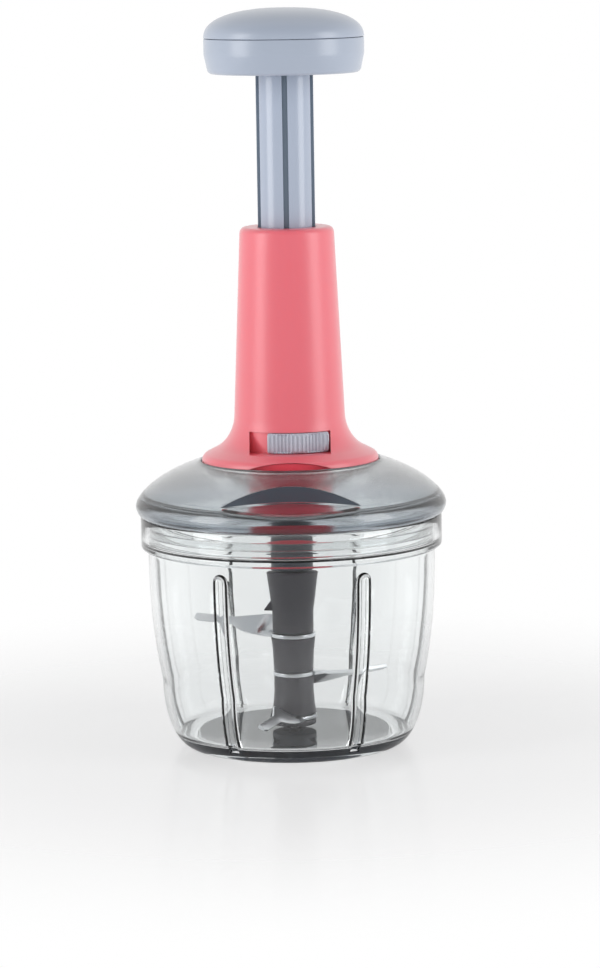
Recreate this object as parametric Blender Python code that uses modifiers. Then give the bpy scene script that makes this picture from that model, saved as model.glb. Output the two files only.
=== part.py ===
"""A plunger food chopper: a clear bowl, a three-blade rotor on a pin, a smoked lid under a red handle,
and a sprung plunger whose nut slides down a twisted rod and so turns the blades.

Metres, +Z up. The origin is the centre of the bowl's foot, and every joint lies on the Z axis.
The front, where the lock slider is, faces -Y.
"""

import math

import bmesh
import bpy
from mathutils import Matrix, Vector

MM = 0.001
FRONT_DEG = 270

# Fits
GAP = 0.3 * MM
RUN_GAP = 0.35 * MM
OVERRUN = 2 * MM
WELD = 0.00001

# Facets around each size of round piece
WIDE_STEPS = 36
HANDLE_STEPS = 30
SMALL_STEPS = 20

# Bowl
BOWL_HEIGHT = 93.5 * MM
COLLAR_RADIUS = 60.2 * MM
COLLAR_HEIGHT = 13.1 * MM
COLLAR_STEP = 2.8 * MM
BELLY_TAPER = 6.8 * MM
BELLY_POWER = 2.3
HEEL_HEIGHT = 9.5 * MM
HEEL_ROUND = 8.6 * MM
FOOT_WIDTH = 2 * MM
COLLAR_FILLET = 1.2 * MM
BOWL_WALL = 2.6 * MM
FLOOR_HEIGHT = 6.2 * MM
FLOOR_WALL = 1.8 * MM
FLOOR_FILLET = 2.5 * MM
RIM_ROUND = 0.6 * MM
FLUTE_COUNT = 6
FLUTE_RADIUS = 2.3 * MM
FLUTE_DEPTH = 1.4 * MM
FLUTE_DROP = 4.9 * MM
RIB_RADIUS = 2.6 * MM
RIB_SINK = 0.2 * MM
INSERT_THICKNESS = 1.8 * MM
PIN_RADIUS = 2 * MM
PIN_LENGTH = 15.5 * MM
PIN_BOSS_RADIUS = 4.2 * MM
PIN_BOSS_HEIGHT = 1.2 * MM
PIN_SEAT_WALL = 1 * MM

# Rotor, stacked up from its foot
ROTOR_LIFT = 0.4 * MM
SPINDLE_FLATS = 8 * MM
HUB_FOOT_HEIGHT = 2.1 * MM
HUB_FOOT_RADIUS = 8.8 * MM
HUB_BOTTOM_SHARE = 0.285
HUB_MIDDLE_SHARE = 0.25
HUB_WAIST_RADIUS = 7.9 * MM
HUB_SHOULDER_RADIUS = 8.9 * MM
HUB_NECK_RADIUS = 8.2 * MM
HUB_HEAD_RADIUS = 10.4 * MM
HUB_HEAD_EDGE = 1 * MM
LUG_REACH = 11.2 * MM
LUG_HEIGHT = 4 * MM
LUG_WIDTH = 6 * MM
LUG_TURN_DEG = 170
SPINDLE_TOP_REACH = 11.4 * MM

# Blades
BLADE_THICKNESS = 1.5 * MM
BLADE_EDGE_THICKNESS = 0.3 * MM
BLADE_GRIND = 2.2 * MM
BLADE_ROOT_HALF = 7 * MM
BLADE_FINGER_HALF = 1.9 * MM
BLADE_RING_RADIUS = 9 * MM
BLADE_LOWER_RING_RADIUS = 8.1 * MM
BLADE_FIN_SHARE = 0.59
BLADE_TIP_GAP = 3 * MM
BLADE_TWIST_LENGTH = 4.2 * MM
BLADE_TILT_DEG = 27
UPPER_BLADE_DEG = 148
MIDDLE_BLADE_DEG = 34
LOWER_BLADE_DEG = 252

# Lid
LID_OVERHANG = 1.8 * MM
LID_EDGE_INSET = 1.4 * MM
LID_WIDEST_RISE = 3.7 * MM
LID_CROWN_RISE = 21.5 * MM
LID_RECESS_DEPTH = 2.7 * MM
LID_WALL = 2.4 * MM
DOME_SPAN = 42 * MM
DOME_POWER = 1.6
SKIRT_FOOT_GAP = 1 * MM
SKIRT_WALL = 2.4 * MM
GASKET_DEPTH = 1.2 * MM
GASKET_HEIGHT = 2.6 * MM
GASKET_RISE = 2.7 * MM
SCOOP_COUNT = 3
SCOOP_MARGIN_SHARE = 0.076
SCOOP_WIDTH_SHARE = 0.475
SCOOP_DEPTH_SHARE = 0.27
SCOOP_HALF_DEG = 31
LID_COLLAR_WALL = 2.2 * MM
LID_COLLAR_DEPTH = 4 * MM

# Handle
HANDLE_HEIGHT = 95.1 * MM
GUIDE_ROOM = 4.9 * MM
GRIP_TAPER = 3.35 * MM
GRIP_FOOT_RISE = 21.1 * MM
GRIP_WALL = 2.35 * MM
GRIP_ROUND = 2.4 * MM
FLARE_SPREAD = 13.3 * MM
FLARE_RISE = 5.6 * MM
FLARE_ROUND = 1.6 * MM
FLARE_WALL = 2.4 * MM
TOP_WALL = 2.2 * MM
NOTCH_HALF_WIDTH = 21 * MM
NOTCH_RISE = 6.6 * MM
NOTCH_DEPTH = 7.3 * MM
BASE_PLATE = 2.3 * MM
NECK_STEP = 1.6 * MM
NECK_LENGTH = 6.3 * MM
BOSS_BORE_RADIUS = 14 * MM
BOSS_WALL = 2.4 * MM
WEB_DROP = 11.4 * MM
WEB_WALL = 2.5 * MM
CLAMP_INSET = 6.5 * MM
CLAMP_SCREW_RADIUS = 1.5 * MM
CLAMP_HEAD_RADIUS = 3 * MM
CLAMP_HEAD_HEIGHT = 2.3 * MM
CLAMP_GRIP = 4.9 * MM
CLAMP_DEG = (90, 210, 330)

# Lock
WINDOW_RISE = 7.1 * MM
WINDOW_HEIGHT = 8.4 * MM
WINDOW_HALF_DEG = 41.2
WINDOW_FLOOR_WALL = 2 * MM
THUMB_HALF_DEG = 33.2
THUMB_END_GAP_DEG = 0.7
THUMB_THICKNESS = 2.6 * MM
THUMB_RIB_COUNT = 5
THUMB_RIB_PITCH = 1.8 * MM
THUMB_RIB_WIDTH = 0.9 * MM
THUMB_RIB_HEIGHT = 0.6 * MM
STEM_HEIGHT = 2.6 * MM
STEM_HALF_DEG = 8
LOCK_RING_WALL = 2.7 * MM
LOCK_LUG_CATCH = 1.2 * MM
LOCK_LUG_HEIGHT = 3 * MM
LOCK_LUG_HALF_DEG = 9
LOCK_NOTCH_EXTRA_DEG = 3

# Plunger
STROKE = 55 * MM
KNOB_STOP_GAP = 5.4 * MM
KNOB_RADIUS = 31.65 * MM
KNOB_FOOT_ROUND = 4.05 * MM
KNOB_BASE_HEIGHT = 13.9 * MM
KNOB_BARREL_SHARE = 0.45
KNOB_CROWN = 11.6 * MM
KNOB_CROWN_POWER = 2.35
KNOB_WALL = 2.2 * MM
KNOB_SPIGOT = 2.8 * MM
KNOB_SOCKET_DEPTH = 8.6 * MM
TUBE_RADIUS = 11.4 * MM
TUBE_WALL = 2 * MM
GROOVE_COUNT = 4
GROOVE_WIDTH = 2 * MM
GROOVE_DEPTH = 1.2 * MM
GUIDE_KEY_WIDTH = 1.4 * MM
PLUG_LENGTH = 10.5 * MM
KNOB_SCREW_RADIUS = 1.9 * MM
KNOB_SCREW_HEAD_RADIUS = 3.9 * MM
KNOB_SCREW_HEAD_HEIGHT = 2.3 * MM
KNOB_SCREW_LENGTH = 11 * MM
NUT_FLANGE_LIP = 4 * MM
NUT_PRESSED_RISE = 8 * MM
NUT_FLANGE_HEIGHT = 3 * MM
NUT_SPIGOT_HEIGHT = 8.5 * MM

# Drive
ROD_LEAD = 36 * MM
ROD_WIDTH = 8.2 * MM
ROD_THICKNESS = 2.2 * MM
ROD_TOP_REACH = 3 * MM
ROD_STEP_DEG = 12
JOURNAL_RADIUS = 4.5 * MM
CLUTCH_INSET = 2.6 * MM
CLUTCH_DISC = 3.6 * MM
DOG_COUNT = 3
DOG_HEIGHT = 2.4 * MM
DOG_HALF_DEG = 26
DOG_INSET = 1.1 * MM
CLUTCH_PIN_RADIUS = 1 * MM
COUPLING_RADIUS = 8.4 * MM
COUPLING_REACH = 13 * MM
COUPLING_SIDE_GAP = 1.8 * MM
COUPLING_FLANGE = 2.4 * MM
COUPLING_HUB_GAP = 1.1 * MM
COUPLING_EDGE = 0.6 * MM
DRIP_RING_REACH = 2 * MM
DRIP_RING_RISE = 5.6 * MM
DRIP_RING_THICKNESS = 0.8 * MM
THRUST_WASHER = 1 * MM
COVER_THICKNESS = 3.7 * MM
COVER_LIP = 1.8 * MM
SPRING_SIDE_GAP = 2 * MM
SPRING_WIRE_RADIUS = 0.75 * MM
SPRING_TURNS = 9
SPRING_TURN_POINTS = 10
SPRING_SEAT = 1.2 * MM
SPRING_SEAT_INNER_RADIUS = 10 * MM

# Radii that follow
BODY_RADIUS = COLLAR_RADIUS - COLLAR_STEP
HEEL_RADIUS = BODY_RADIUS - BELLY_TAPER
FOOT_RADIUS = HEEL_RADIUS - HEEL_ROUND
LID_RADIUS = COLLAR_RADIUS + LID_OVERHANG
DOME_START_RADIUS = LID_RADIUS - DOME_SPAN
GRIP_TOP_RADIUS = TUBE_RADIUS + GUIDE_ROOM + GRIP_WALL
GRIP_FOOT_RADIUS = GRIP_TOP_RADIUS + GRIP_TAPER
GRIP_BORE_RADIUS = GRIP_FOOT_RADIUS - GRIP_WALL
GRIP_TOP_BORE_RADIUS = GRIP_TOP_RADIUS - GRIP_WALL
FLARE_RADIUS = GRIP_FOOT_RADIUS + FLARE_SPREAD
NOTCH_FLOOR_RADIUS = FLARE_RADIUS - NOTCH_DEPTH
BOSS_RADIUS = BOSS_BORE_RADIUS + BOSS_WALL
NECK_RADIUS = BOSS_RADIUS + NECK_STEP
CLAMP_CIRCLE_RADIUS = NECK_RADIUS + CLAMP_INSET
COUPLING_FLANGE_RADIUS = BOSS_BORE_RADIUS - COUPLING_SIDE_GAP
CLUTCH_RADIUS = COUPLING_FLANGE_RADIUS - CLUTCH_INSET
DOG_INNER_RADIUS = JOURNAL_RADIUS + DOG_INSET
DRIP_RING_RADIUS = COUPLING_RADIUS + DRIP_RING_REACH
SPRING_RADIUS = BOSS_BORE_RADIUS - SPRING_SIDE_GAP
NUT_FLANGE_RADIUS = TUBE_RADIUS + NUT_FLANGE_LIP
KNOB_FOOT_RADIUS = KNOB_RADIUS - KNOB_FOOT_ROUND
SKIRT_RADIUS = COLLAR_RADIUS - BOWL_WALL - GAP
LID_HOLE_RADIUS = NECK_RADIUS + GAP
LID_RECESS_RADIUS = FLARE_RADIUS + GAP
LID_SHOULDER = LID_RADIUS - LID_RECESS_RADIUS
SCOOP_WIDTH = LID_SHOULDER * SCOOP_WIDTH_SHARE
SCOOP_DEPTH = SCOOP_WIDTH * SCOOP_DEPTH_SHARE
SCOOP_OUTER_RADIUS = LID_RADIUS - LID_SHOULDER * SCOOP_MARGIN_SHARE
SCOOP_INNER_RADIUS = SCOOP_OUTER_RADIUS - SCOOP_WIDTH
WINDOW_FLOOR_RADIUS = GRIP_BORE_RADIUS + WINDOW_FLOOR_WALL
THUMB_RADIUS = WINDOW_FLOOR_RADIUS + GAP + THUMB_THICKNESS
LOCK_RING_RADIUS = GRIP_BORE_RADIUS - RUN_GAP
LOCK_RING_BORE = LOCK_RING_RADIUS - LOCK_RING_WALL
LOCK_LUG_RADIUS = NUT_FLANGE_RADIUS - LOCK_LUG_CATCH

# Heights that follow, from the bowl up and then from the handle down to the rotor
FLOOR_UNDER_Z = FLOOR_HEIGHT - FLOOR_WALL
COLLAR_STEP_Z = BOWL_HEIGHT - COLLAR_HEIGHT
BODY_TOP_Z = COLLAR_STEP_Z - COLLAR_FILLET
PIN_BOSS_TOP_Z = FLOOR_HEIGHT + PIN_BOSS_HEIGHT
PIN_FOOT_Z = FLOOR_UNDER_Z + PIN_SEAT_WALL + GAP
PIN_TOP_Z = PIN_FOOT_Z + PIN_LENGTH

HUB_FOOT_Z = PIN_BOSS_TOP_Z + ROTOR_LIFT

LEDGE_Z = COLLAR_STEP_Z + BOWL_WALL
LID_EDGE_Z = BOWL_HEIGHT + GAP
LID_WIDEST_Z = LID_EDGE_Z + LID_WIDEST_RISE
LID_CROWN_Z = LID_EDGE_Z + LID_CROWN_RISE
LID_SEAT_Z = LID_CROWN_Z - LID_RECESS_DEPTH
LID_PLATE_UNDER_Z = LID_SEAT_Z - LID_WALL
SKIRT_FOOT_Z = LEDGE_Z + SKIRT_FOOT_GAP

HANDLE_FOOT_Z = LID_SEAT_Z + GAP
HANDLE_TOP_Z = HANDLE_FOOT_Z + HANDLE_HEIGHT
GRIP_FOOT_Z = HANDLE_FOOT_Z + GRIP_FOOT_RISE
FLARE_Z = HANDLE_FOOT_Z + FLARE_RISE
BASE_TOP_Z = HANDLE_FOOT_Z + BASE_PLATE
NECK_FOOT_Z = HANDLE_FOOT_Z - NECK_LENGTH
WEB_TOP_Z = HANDLE_FOOT_Z - WEB_DROP
WEB_UNDER_Z = WEB_TOP_Z - WEB_WALL

NUT_PRESSED_Z = BASE_TOP_Z + NUT_PRESSED_RISE
NUT_TOP_Z = NUT_PRESSED_Z + STROKE
NUT_FOOT_Z = NUT_TOP_Z - NUT_FLANGE_HEIGHT
NUT_SPIGOT_Z = NUT_TOP_Z + NUT_SPIGOT_HEIGHT
GUIDE_FOOT_Z = NUT_TOP_Z + GAP
GUIDE_TOP_Z = HANDLE_TOP_Z - TOP_WALL - GAP
TUBE_FOOT_Z = NUT_TOP_Z + GAP
KNOB_FOOT_Z = HANDLE_TOP_Z + STROKE + KNOB_STOP_GAP
TUBE_TOP_Z = KNOB_FOOT_Z + KNOB_SOCKET_DEPTH
KNOB_WEB_Z = TUBE_TOP_Z + GAP
KNOB_SEAM_Z = KNOB_FOOT_Z + KNOB_BASE_HEIGHT

CLUTCH_TOP_Z = WEB_UNDER_Z - GAP
CLUTCH_UNDER_Z = CLUTCH_TOP_Z - CLUTCH_DISC
COUPLING_TOP_Z = CLUTCH_UNDER_Z - DOG_HEIGHT - GAP
COUPLING_FLANGE_Z = COUPLING_TOP_Z - COUPLING_FLANGE
WASHER_Z = COUPLING_FLANGE_Z - GAP - THRUST_WASHER
COVER_TOP_Z = WASHER_Z - GAP
COVER_FOOT_Z = COVER_TOP_Z - COVER_THICKNESS
COVER_LIP_TOP_Z = COVER_FOOT_Z + COVER_LIP
COUPLING_FOOT_Z = COVER_FOOT_Z - COUPLING_REACH
ROD_TOP_Z = NUT_SPIGOT_Z + ROD_TOP_REACH
ROD_FOOT_Z = WEB_TOP_Z
SPRING_SEAT_Z = WEB_TOP_Z + GAP
SPRING_FOOT_Z = SPRING_SEAT_Z + SPRING_SEAT + GAP
SPRING_TOP_Z = NUT_FOOT_Z - GAP

WINDOW_Z = HANDLE_FOOT_Z + WINDOW_RISE
WINDOW_TOP_Z = WINDOW_Z + WINDOW_HEIGHT
STEM_Z = WINDOW_Z + (WINDOW_HEIGHT - STEM_HEIGHT) / 2
THUMB_OFFSET_DEG = WINDOW_HALF_DEG - THUMB_HALF_DEG - THUMB_END_GAP_DEG
THUMB_DEG = FRONT_DEG + THUMB_OFFSET_DEG
LOCK_LUG_Z = NUT_PRESSED_Z + RUN_GAP
LOCK_RING_Z = BASE_TOP_Z + GAP
LOCK_RING_TOP_Z = LOCK_LUG_Z + LOCK_LUG_HEIGHT + GAP
LOCK_LUG_DEG = (0, 180)

# The rotor fills the height between the bowl's floor and the coupling
HUB_HEAD_Z = COUPLING_FOOT_Z - COUPLING_HUB_GAP
SPINDLE_TOP_Z = HUB_HEAD_Z + SPINDLE_TOP_REACH
BLADE_ROOM = BLADE_THICKNESS + 2 * GAP
HUB_REACH = HUB_HEAD_Z - HUB_FOOT_Z - HUB_FOOT_HEIGHT - 3 * BLADE_ROOM
HUB_BOTTOM_HEIGHT = HUB_REACH * HUB_BOTTOM_SHARE
HUB_MIDDLE_HEIGHT = HUB_REACH * HUB_MIDDLE_SHARE
HUB_TOP_HEIGHT = HUB_REACH - HUB_BOTTOM_HEIGHT - HUB_MIDDLE_HEIGHT
LOWER_RING_Z = HUB_FOOT_Z + HUB_FOOT_HEIGHT + GAP
HUB_BOTTOM_Z = LOWER_RING_Z + BLADE_THICKNESS + GAP
MIDDLE_RING_Z = HUB_BOTTOM_Z + HUB_BOTTOM_HEIGHT + GAP
HUB_MIDDLE_Z = MIDDLE_RING_Z + BLADE_THICKNESS + GAP
UPPER_RING_Z = HUB_MIDDLE_Z + HUB_MIDDLE_HEIGHT + GAP
HUB_TOP_Z = UPPER_RING_Z + BLADE_THICKNESS + GAP

# Colours as sRGB hex, roughness, metallic, transmission
FINISHES = {
    "clear_bowl": ("E9EEEC", 0.05, 0, 0.95),
    "smoked_lid": ("8D9294", 0.06, 0, 0.9),
    "red_plastic": ("DE6477", 0.34, 0, 0),
    "grey_plastic": ("B6BFCE", 0.38, 0, 0),
    "slider_grey": ("C3C6CF", 0.4, 0, 0),
    "hub_grey": ("5A585D", 0.42, 0, 0),
    "drive_grey": ("474C54", 0.4, 0, 0),
    "insert_grey": ("565B61", 0.55, 0, 0),
    "white_nylon": ("E4E2DA", 0.45, 0, 0),
    "seal": ("D9DADB", 0.6, 0, 0),
    "steel": ("C9CBCE", 0.22, 1, 0),
    "spring_steel": ("A9ACB0", 0.3, 1, 0),
}

PARTS = "plunger_food_chopper"
CUTTERS = "cutters"
SHARP_ANGLE_DEG = 35


def clear_scene():
    """Empties the file, so that the script can be run again."""
    for obj in list(bpy.data.objects):
        bpy.data.objects.remove(obj)
    for name in (PARTS, CUTTERS):
        group = bpy.data.collections.get(name) or bpy.data.collections.new(name)
        if group.name not in bpy.context.scene.collection.children:
            bpy.context.scene.collection.children.link(group)


def linear(hex_colour):
    """An sRGB hex colour as linear red, green, blue and alpha."""
    channels = [int(hex_colour[i : i + 2], 16) / 255 for i in (0, 2, 4)]
    return [c / 12.92 if c <= 0.04045 else ((c + 0.055) / 1.055) ** 2.4 for c in channels] + [1]


def finish_of(node, finish):
    """A material of the node's own, from a named finish."""
    colour, roughness, metallic, transmission = FINISHES[finish]
    material = bpy.data.materials.new(f"{node}_{finish}")
    material.use_nodes = True
    shader = material.node_tree.nodes["Principled BSDF"]
    shader.inputs["Base Color"].default_value = linear(colour)
    shader.inputs["Roughness"].default_value = roughness
    shader.inputs["Metallic"].default_value = metallic
    shader.inputs["Transmission Weight"].default_value = transmission
    return material


def place(name, mesh, finish):
    """An object for a mesh: a part where a finish is given, and otherwise a cutter or other helper."""
    obj = bpy.data.objects.new(name, mesh)
    bpy.data.collections[PARTS if finish else CUTTERS].objects.link(obj)
    if finish:
        mesh.materials.append(finish_of(name, finish))
    else:
        obj.hide_render = True
        obj.display_type = "WIRE"
    return obj


def place_bmesh(name, bm, finish):
    """An object for a bmesh, with smooth faces and sharp corners."""
    mesh = bpy.data.meshes.new(name)
    bmesh.ops.recalc_face_normals(bm, faces=bm.faces)
    bm.to_mesh(mesh)
    bm.free()
    mesh.shade_smooth()
    mesh.set_sharp_from_angle(angle=math.radians(SHARP_ANGLE_DEG))
    return place(name, mesh, finish)


def turned(name, profile, finish=None, steps=SMALL_STEPS):
    """A profile of (radius, height) points, top to bottom down its outer side, turned about Z."""
    meets_axis = profile[0][0] == 0 and profile[-1][0] == 0
    last = len(profile) - 1 if meets_axis else len(profile)
    mesh = bpy.data.meshes.new(name)
    edges = [(i, (i + 1) % len(profile)) for i in range(last)]
    mesh.from_pydata([(radius, 0, height) for radius, height in profile], edges, [])
    obj = place(name, mesh, finish)
    screw = obj.modifiers.new("Turn", "SCREW")
    screw.steps = screw.render_steps = steps
    screw.use_merge_vertices = True
    screw.merge_threshold = WELD
    return obj


def drum(name, radius, low, high, finish=None, steps=SMALL_STEPS, at=(0, 0), turn_deg=0):
    """A plain upright cylinder or, with few steps, a prism."""
    bm = bmesh.new()
    bmesh.ops.create_cone(
        bm, cap_ends=True, segments=steps, radius1=radius, radius2=radius, depth=high - low
    )
    spin = Matrix.Rotation(math.radians(turn_deg), 4, "Z")
    bm.transform(Matrix.Translation((*at, (low + high) / 2)) @ spin)
    return place_bmesh(name, bm, finish)


def hexagon(name, flats, low, high, finish=None):
    """A six-sided prism, by its width across the flats."""
    return drum(name, flats / 2 / math.cos(math.pi / 6), low, high, finish, steps=6)


def lofted_bmesh(sections):
    """A closed bmesh through sections of equally many points, capped at both ends."""
    bm = bmesh.new()
    rows = [[bm.verts.new(point) for point in section] for section in sections]
    count = len(rows[0])
    for near, far in zip(rows, rows[1:]):
        for i in range(count):
            j = (i + 1) % count
            bm.faces.new((near[i], near[j], far[j], far[i]))
    bm.faces.new(rows[0][::-1])
    bm.faces.new(rows[-1])
    return bm


def polar(radius, degrees, height):
    """A point from its radius, direction and height."""
    angle = math.radians(degrees)
    return Vector((radius * math.cos(angle), radius * math.sin(angle), height))


def sector_bmesh(inner, outer, low, high, centre_deg, half_deg, steps=10):
    """A curved block between two radii, about a direction."""
    sections = []
    for i in range(steps + 1):
        degrees = centre_deg + half_deg * (2 * i / steps - 1)
        corners = ((inner, low), (outer, low), (outer, high), (inner, high))
        sections.append([polar(radius, degrees, height) for radius, height in corners])
    return lofted_bmesh(sections)


def sectors(name, inner, outer, low, high, directions, half_deg, finish=None, steps=10):
    """Curved blocks between two radii, one about each direction."""
    joined = bmesh.new()
    for degrees in directions:
        bm = sector_bmesh(inner, outer, low, high, degrees, half_deg, steps)
        block = bpy.data.meshes.new(name)
        bm.to_mesh(block)
        bm.free()
        joined.from_mesh(block)
        bpy.data.meshes.remove(block)
    return place_bmesh(name, joined, finish)


def tube_mesh(points, radius, shares=None, resolution=2):
    """A tube along points as a mesh. Each share is the tube's radius there, as a share of the radius."""
    curve = bpy.data.curves.new("tube", "CURVE")
    curve.dimensions = "3D"
    curve.bevel_depth = radius
    curve.bevel_resolution = resolution
    curve.use_fill_caps = True
    spline = curve.splines.new("POLY")
    spline.points.add(len(points) - 1)
    for i, point in enumerate(points):
        spline.points[i].co = (*point, 1)
        spline.points[i].radius = shares[i] if shares else 1
    obj = bpy.data.objects.new("tube", curve)
    bpy.context.scene.collection.objects.link(obj)
    graph = bpy.context.evaluated_depsgraph_get()
    mesh = bpy.data.meshes.new_from_object(obj.evaluated_get(graph))
    bpy.data.objects.remove(obj)
    bm = bmesh.new()
    bm.from_mesh(mesh)
    bmesh.ops.remove_doubles(bm, verts=bm.verts, dist=WELD)
    bmesh.ops.recalc_face_normals(bm, faces=bm.faces)
    bm.to_mesh(mesh)
    bm.free()
    return mesh


def around(name, mesh, count, start_deg=0, finish=None):
    """Evenly spaced copies of a mesh about Z, in one object."""
    bm = bmesh.new()
    mesh.transform(Matrix.Rotation(math.radians(start_deg), 4, "Z"))
    for _ in range(count):
        bm.from_mesh(mesh)
        mesh.transform(Matrix.Rotation(2 * math.pi / count, 4, "Z"))
    return place_bmesh(name, bm, finish)


def boolean(obj, other, operation):
    """Adds a Boolean with another object, which stays in the cutters' collection."""
    modifier = obj.modifiers.new(other.name, "BOOLEAN")
    modifier.operation = operation
    modifier.object = other
    modifier.solver = "EXACT"


def cut(obj, *cutters):
    """Takes each cutter away from an object."""
    for cutter in cutters:
        boolean(obj, cutter, "DIFFERENCE")


def join(obj, *pieces):
    """Adds each helper piece to an object."""
    for piece in pieces:
        boolean(obj, piece, "UNION")


def arc(centre, radius, from_deg, to_deg, steps):
    """Points along an arc of a profile."""
    points = []
    for i in range(steps + 1):
        angle = math.radians(from_deg + (to_deg - from_deg) * i / steps)
        points.append((centre[0] + radius * math.cos(angle), centre[1] + radius * math.sin(angle)))
    return points


def bowl_radius(height):
    """The bowl's outer radius at a height, belly above and rounded heel below."""
    if height < HEEL_HEIGHT:
        drop = (HEEL_HEIGHT - height) / HEEL_HEIGHT
        return FOOT_RADIUS + (HEEL_RADIUS - FOOT_RADIUS) * math.sqrt(max(0, 1 - drop**2))
    share = min(1, (height - HEEL_HEIGHT) / (BODY_TOP_Z - HEEL_HEIGHT))
    return BODY_RADIUS - (BODY_RADIUS - HEEL_RADIUS) * (1 - share) ** BELLY_POWER


def spaced(low, high, steps):
    """Evenly spaced heights, both ends included."""
    return [low + (high - low) * i / steps for i in range(steps + 1)]


def bowl_inner_side():
    """The bowl's inner profile, from the pin's seat up to the rim."""
    seat_radius = PIN_RADIUS + GAP
    seat_z = PIN_FOOT_Z - GAP
    corner_z = FLOOR_HEIGHT + FLOOR_FILLET
    corner_radius = bowl_radius(corner_z) - BOWL_WALL - FLOOR_FILLET
    points = [(0, seat_z), (seat_radius, seat_z), (seat_radius, PIN_BOSS_TOP_Z)]
    points += [(PIN_BOSS_RADIUS, PIN_BOSS_TOP_Z), (PIN_BOSS_RADIUS, FLOOR_HEIGHT)]
    points += arc((corner_radius, corner_z), FLOOR_FILLET, -90, 0, 3)
    points += [(bowl_radius(z) - BOWL_WALL, z) for z in spaced(corner_z, BODY_TOP_Z, 4)[1:]]
    points += [(BODY_RADIUS - BOWL_WALL, LEDGE_Z - COLLAR_FILLET), (COLLAR_RADIUS - BOWL_WALL, LEDGE_Z)]
    return points


def bowl_outer_side():
    """The bowl's outer profile, from the rim down to the recess under the floor."""
    inner_rim = COLLAR_RADIUS - BOWL_WALL
    points = [(inner_rim, BOWL_HEIGHT - RIM_ROUND), (inner_rim + RIM_ROUND, BOWL_HEIGHT)]
    points += [(COLLAR_RADIUS - RIM_ROUND, BOWL_HEIGHT), (COLLAR_RADIUS, BOWL_HEIGHT - RIM_ROUND)]
    step_centre = (COLLAR_RADIUS - COLLAR_FILLET, COLLAR_STEP_Z + COLLAR_FILLET)
    points += arc(step_centre, COLLAR_FILLET, 0, -90, 2)
    points += [(bowl_radius(z), z) for z in spaced(BODY_TOP_Z, HEEL_HEIGHT, 5)]
    points += [(bowl_radius(z), z) for z in [HEEL_HEIGHT * share for share in (0.7, 0.4, 0.15, 0)]]
    points += [(FOOT_RADIUS - FOOT_WIDTH, 0), (FOOT_RADIUS - FOOT_WIDTH, FLOOR_UNDER_Z), (0, FLOOR_UNDER_Z)]
    return points


def flute_path(offset, low, high, follow_heel):
    """Points down the wall, offset outwards from its outer face, with the top end drawn in round."""
    points = []
    for z in spaced(high, low, 7):
        radius = bowl_radius(z if follow_heel else max(z, HEEL_HEIGHT)) + offset
        points.append((radius, 0, z))
    return points


def rounded_top(path, radius):
    """A path with a closer first stretch, and the radius shares that round its top end."""
    first, second = Vector(path[0]), Vector(path[1])
    along = (second - first).normalized()
    angles = [math.radians(a) for a in (20, 45, 70)]
    points = [first + along * radius * (1 - math.cos(a)) for a in angles]
    shares = [math.sin(a) for a in angles]
    points.append(first + along * radius)
    return [tuple(p) for p in points] + path[1:], shares + [1] * len(path)


def make_bowl():
    """Clear bowl: a belly with a stepped collar, and upright flutes pressed in from outside."""
    bowl = turned("bowl", bowl_inner_side() + bowl_outer_side(), "clear_bowl", WIDE_STEPS)
    flute_top = COLLAR_STEP_Z - FLUTE_DROP
    rib, rib_shares = rounded_top(
        flute_path(-BOWL_WALL - RIB_SINK, FLOOR_HEIGHT - GAP, flute_top + RIB_SINK, True), RIB_RADIUS
    )
    groove, groove_shares = rounded_top(
        flute_path(FLUTE_RADIUS - FLUTE_DEPTH, HEEL_HEIGHT * 0.2, flute_top, False), FLUTE_RADIUS
    )
    join(bowl, around("bowl_ribs", tube_mesh(rib, RIB_RADIUS, rib_shares), FLUTE_COUNT))
    cut(bowl, around("bowl_grooves", tube_mesh(groove, FLUTE_RADIUS, groove_shares), FLUTE_COUNT))
    insert_radius = FOOT_RADIUS - FOOT_WIDTH - GAP
    insert_top = FLOOR_UNDER_Z - GAP
    insert = turned(
        "base_insert",
        [
            (0, insert_top),
            (insert_radius - RIM_ROUND, insert_top),
            (insert_radius, insert_top - RIM_ROUND),
            (insert_radius, insert_top - INSERT_THICKNESS),
            (0, insert_top - INSERT_THICKNESS),
        ],
        "insert_grey",
        WIDE_STEPS,
    )
    pin = turned(
        "pivot_pin",
        [(0, PIN_TOP_Z)]
        + [(PIN_RADIUS / 2, PIN_TOP_Z), (PIN_RADIUS, PIN_TOP_Z - PIN_RADIUS / 2)]
        + [(PIN_RADIUS, PIN_FOOT_Z), (0, PIN_FOOT_Z)],
        "steel",
    )
    return [bowl, insert, pin]


def hub_piece(name, profile, finish="hub_grey"):
    """A turned hub piece with the spindle's hexagon through it. The profile is its outer side."""
    top, foot = profile[0][1], profile[-1][1]
    piece = turned(name, [(0, top)] + profile + [(0, foot)], finish)
    bore = hexagon(f"{name}_bore", SPINDLE_FLATS + 2 * GAP, foot - OVERRUN, top + OVERRUN)
    return piece, bore


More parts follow.
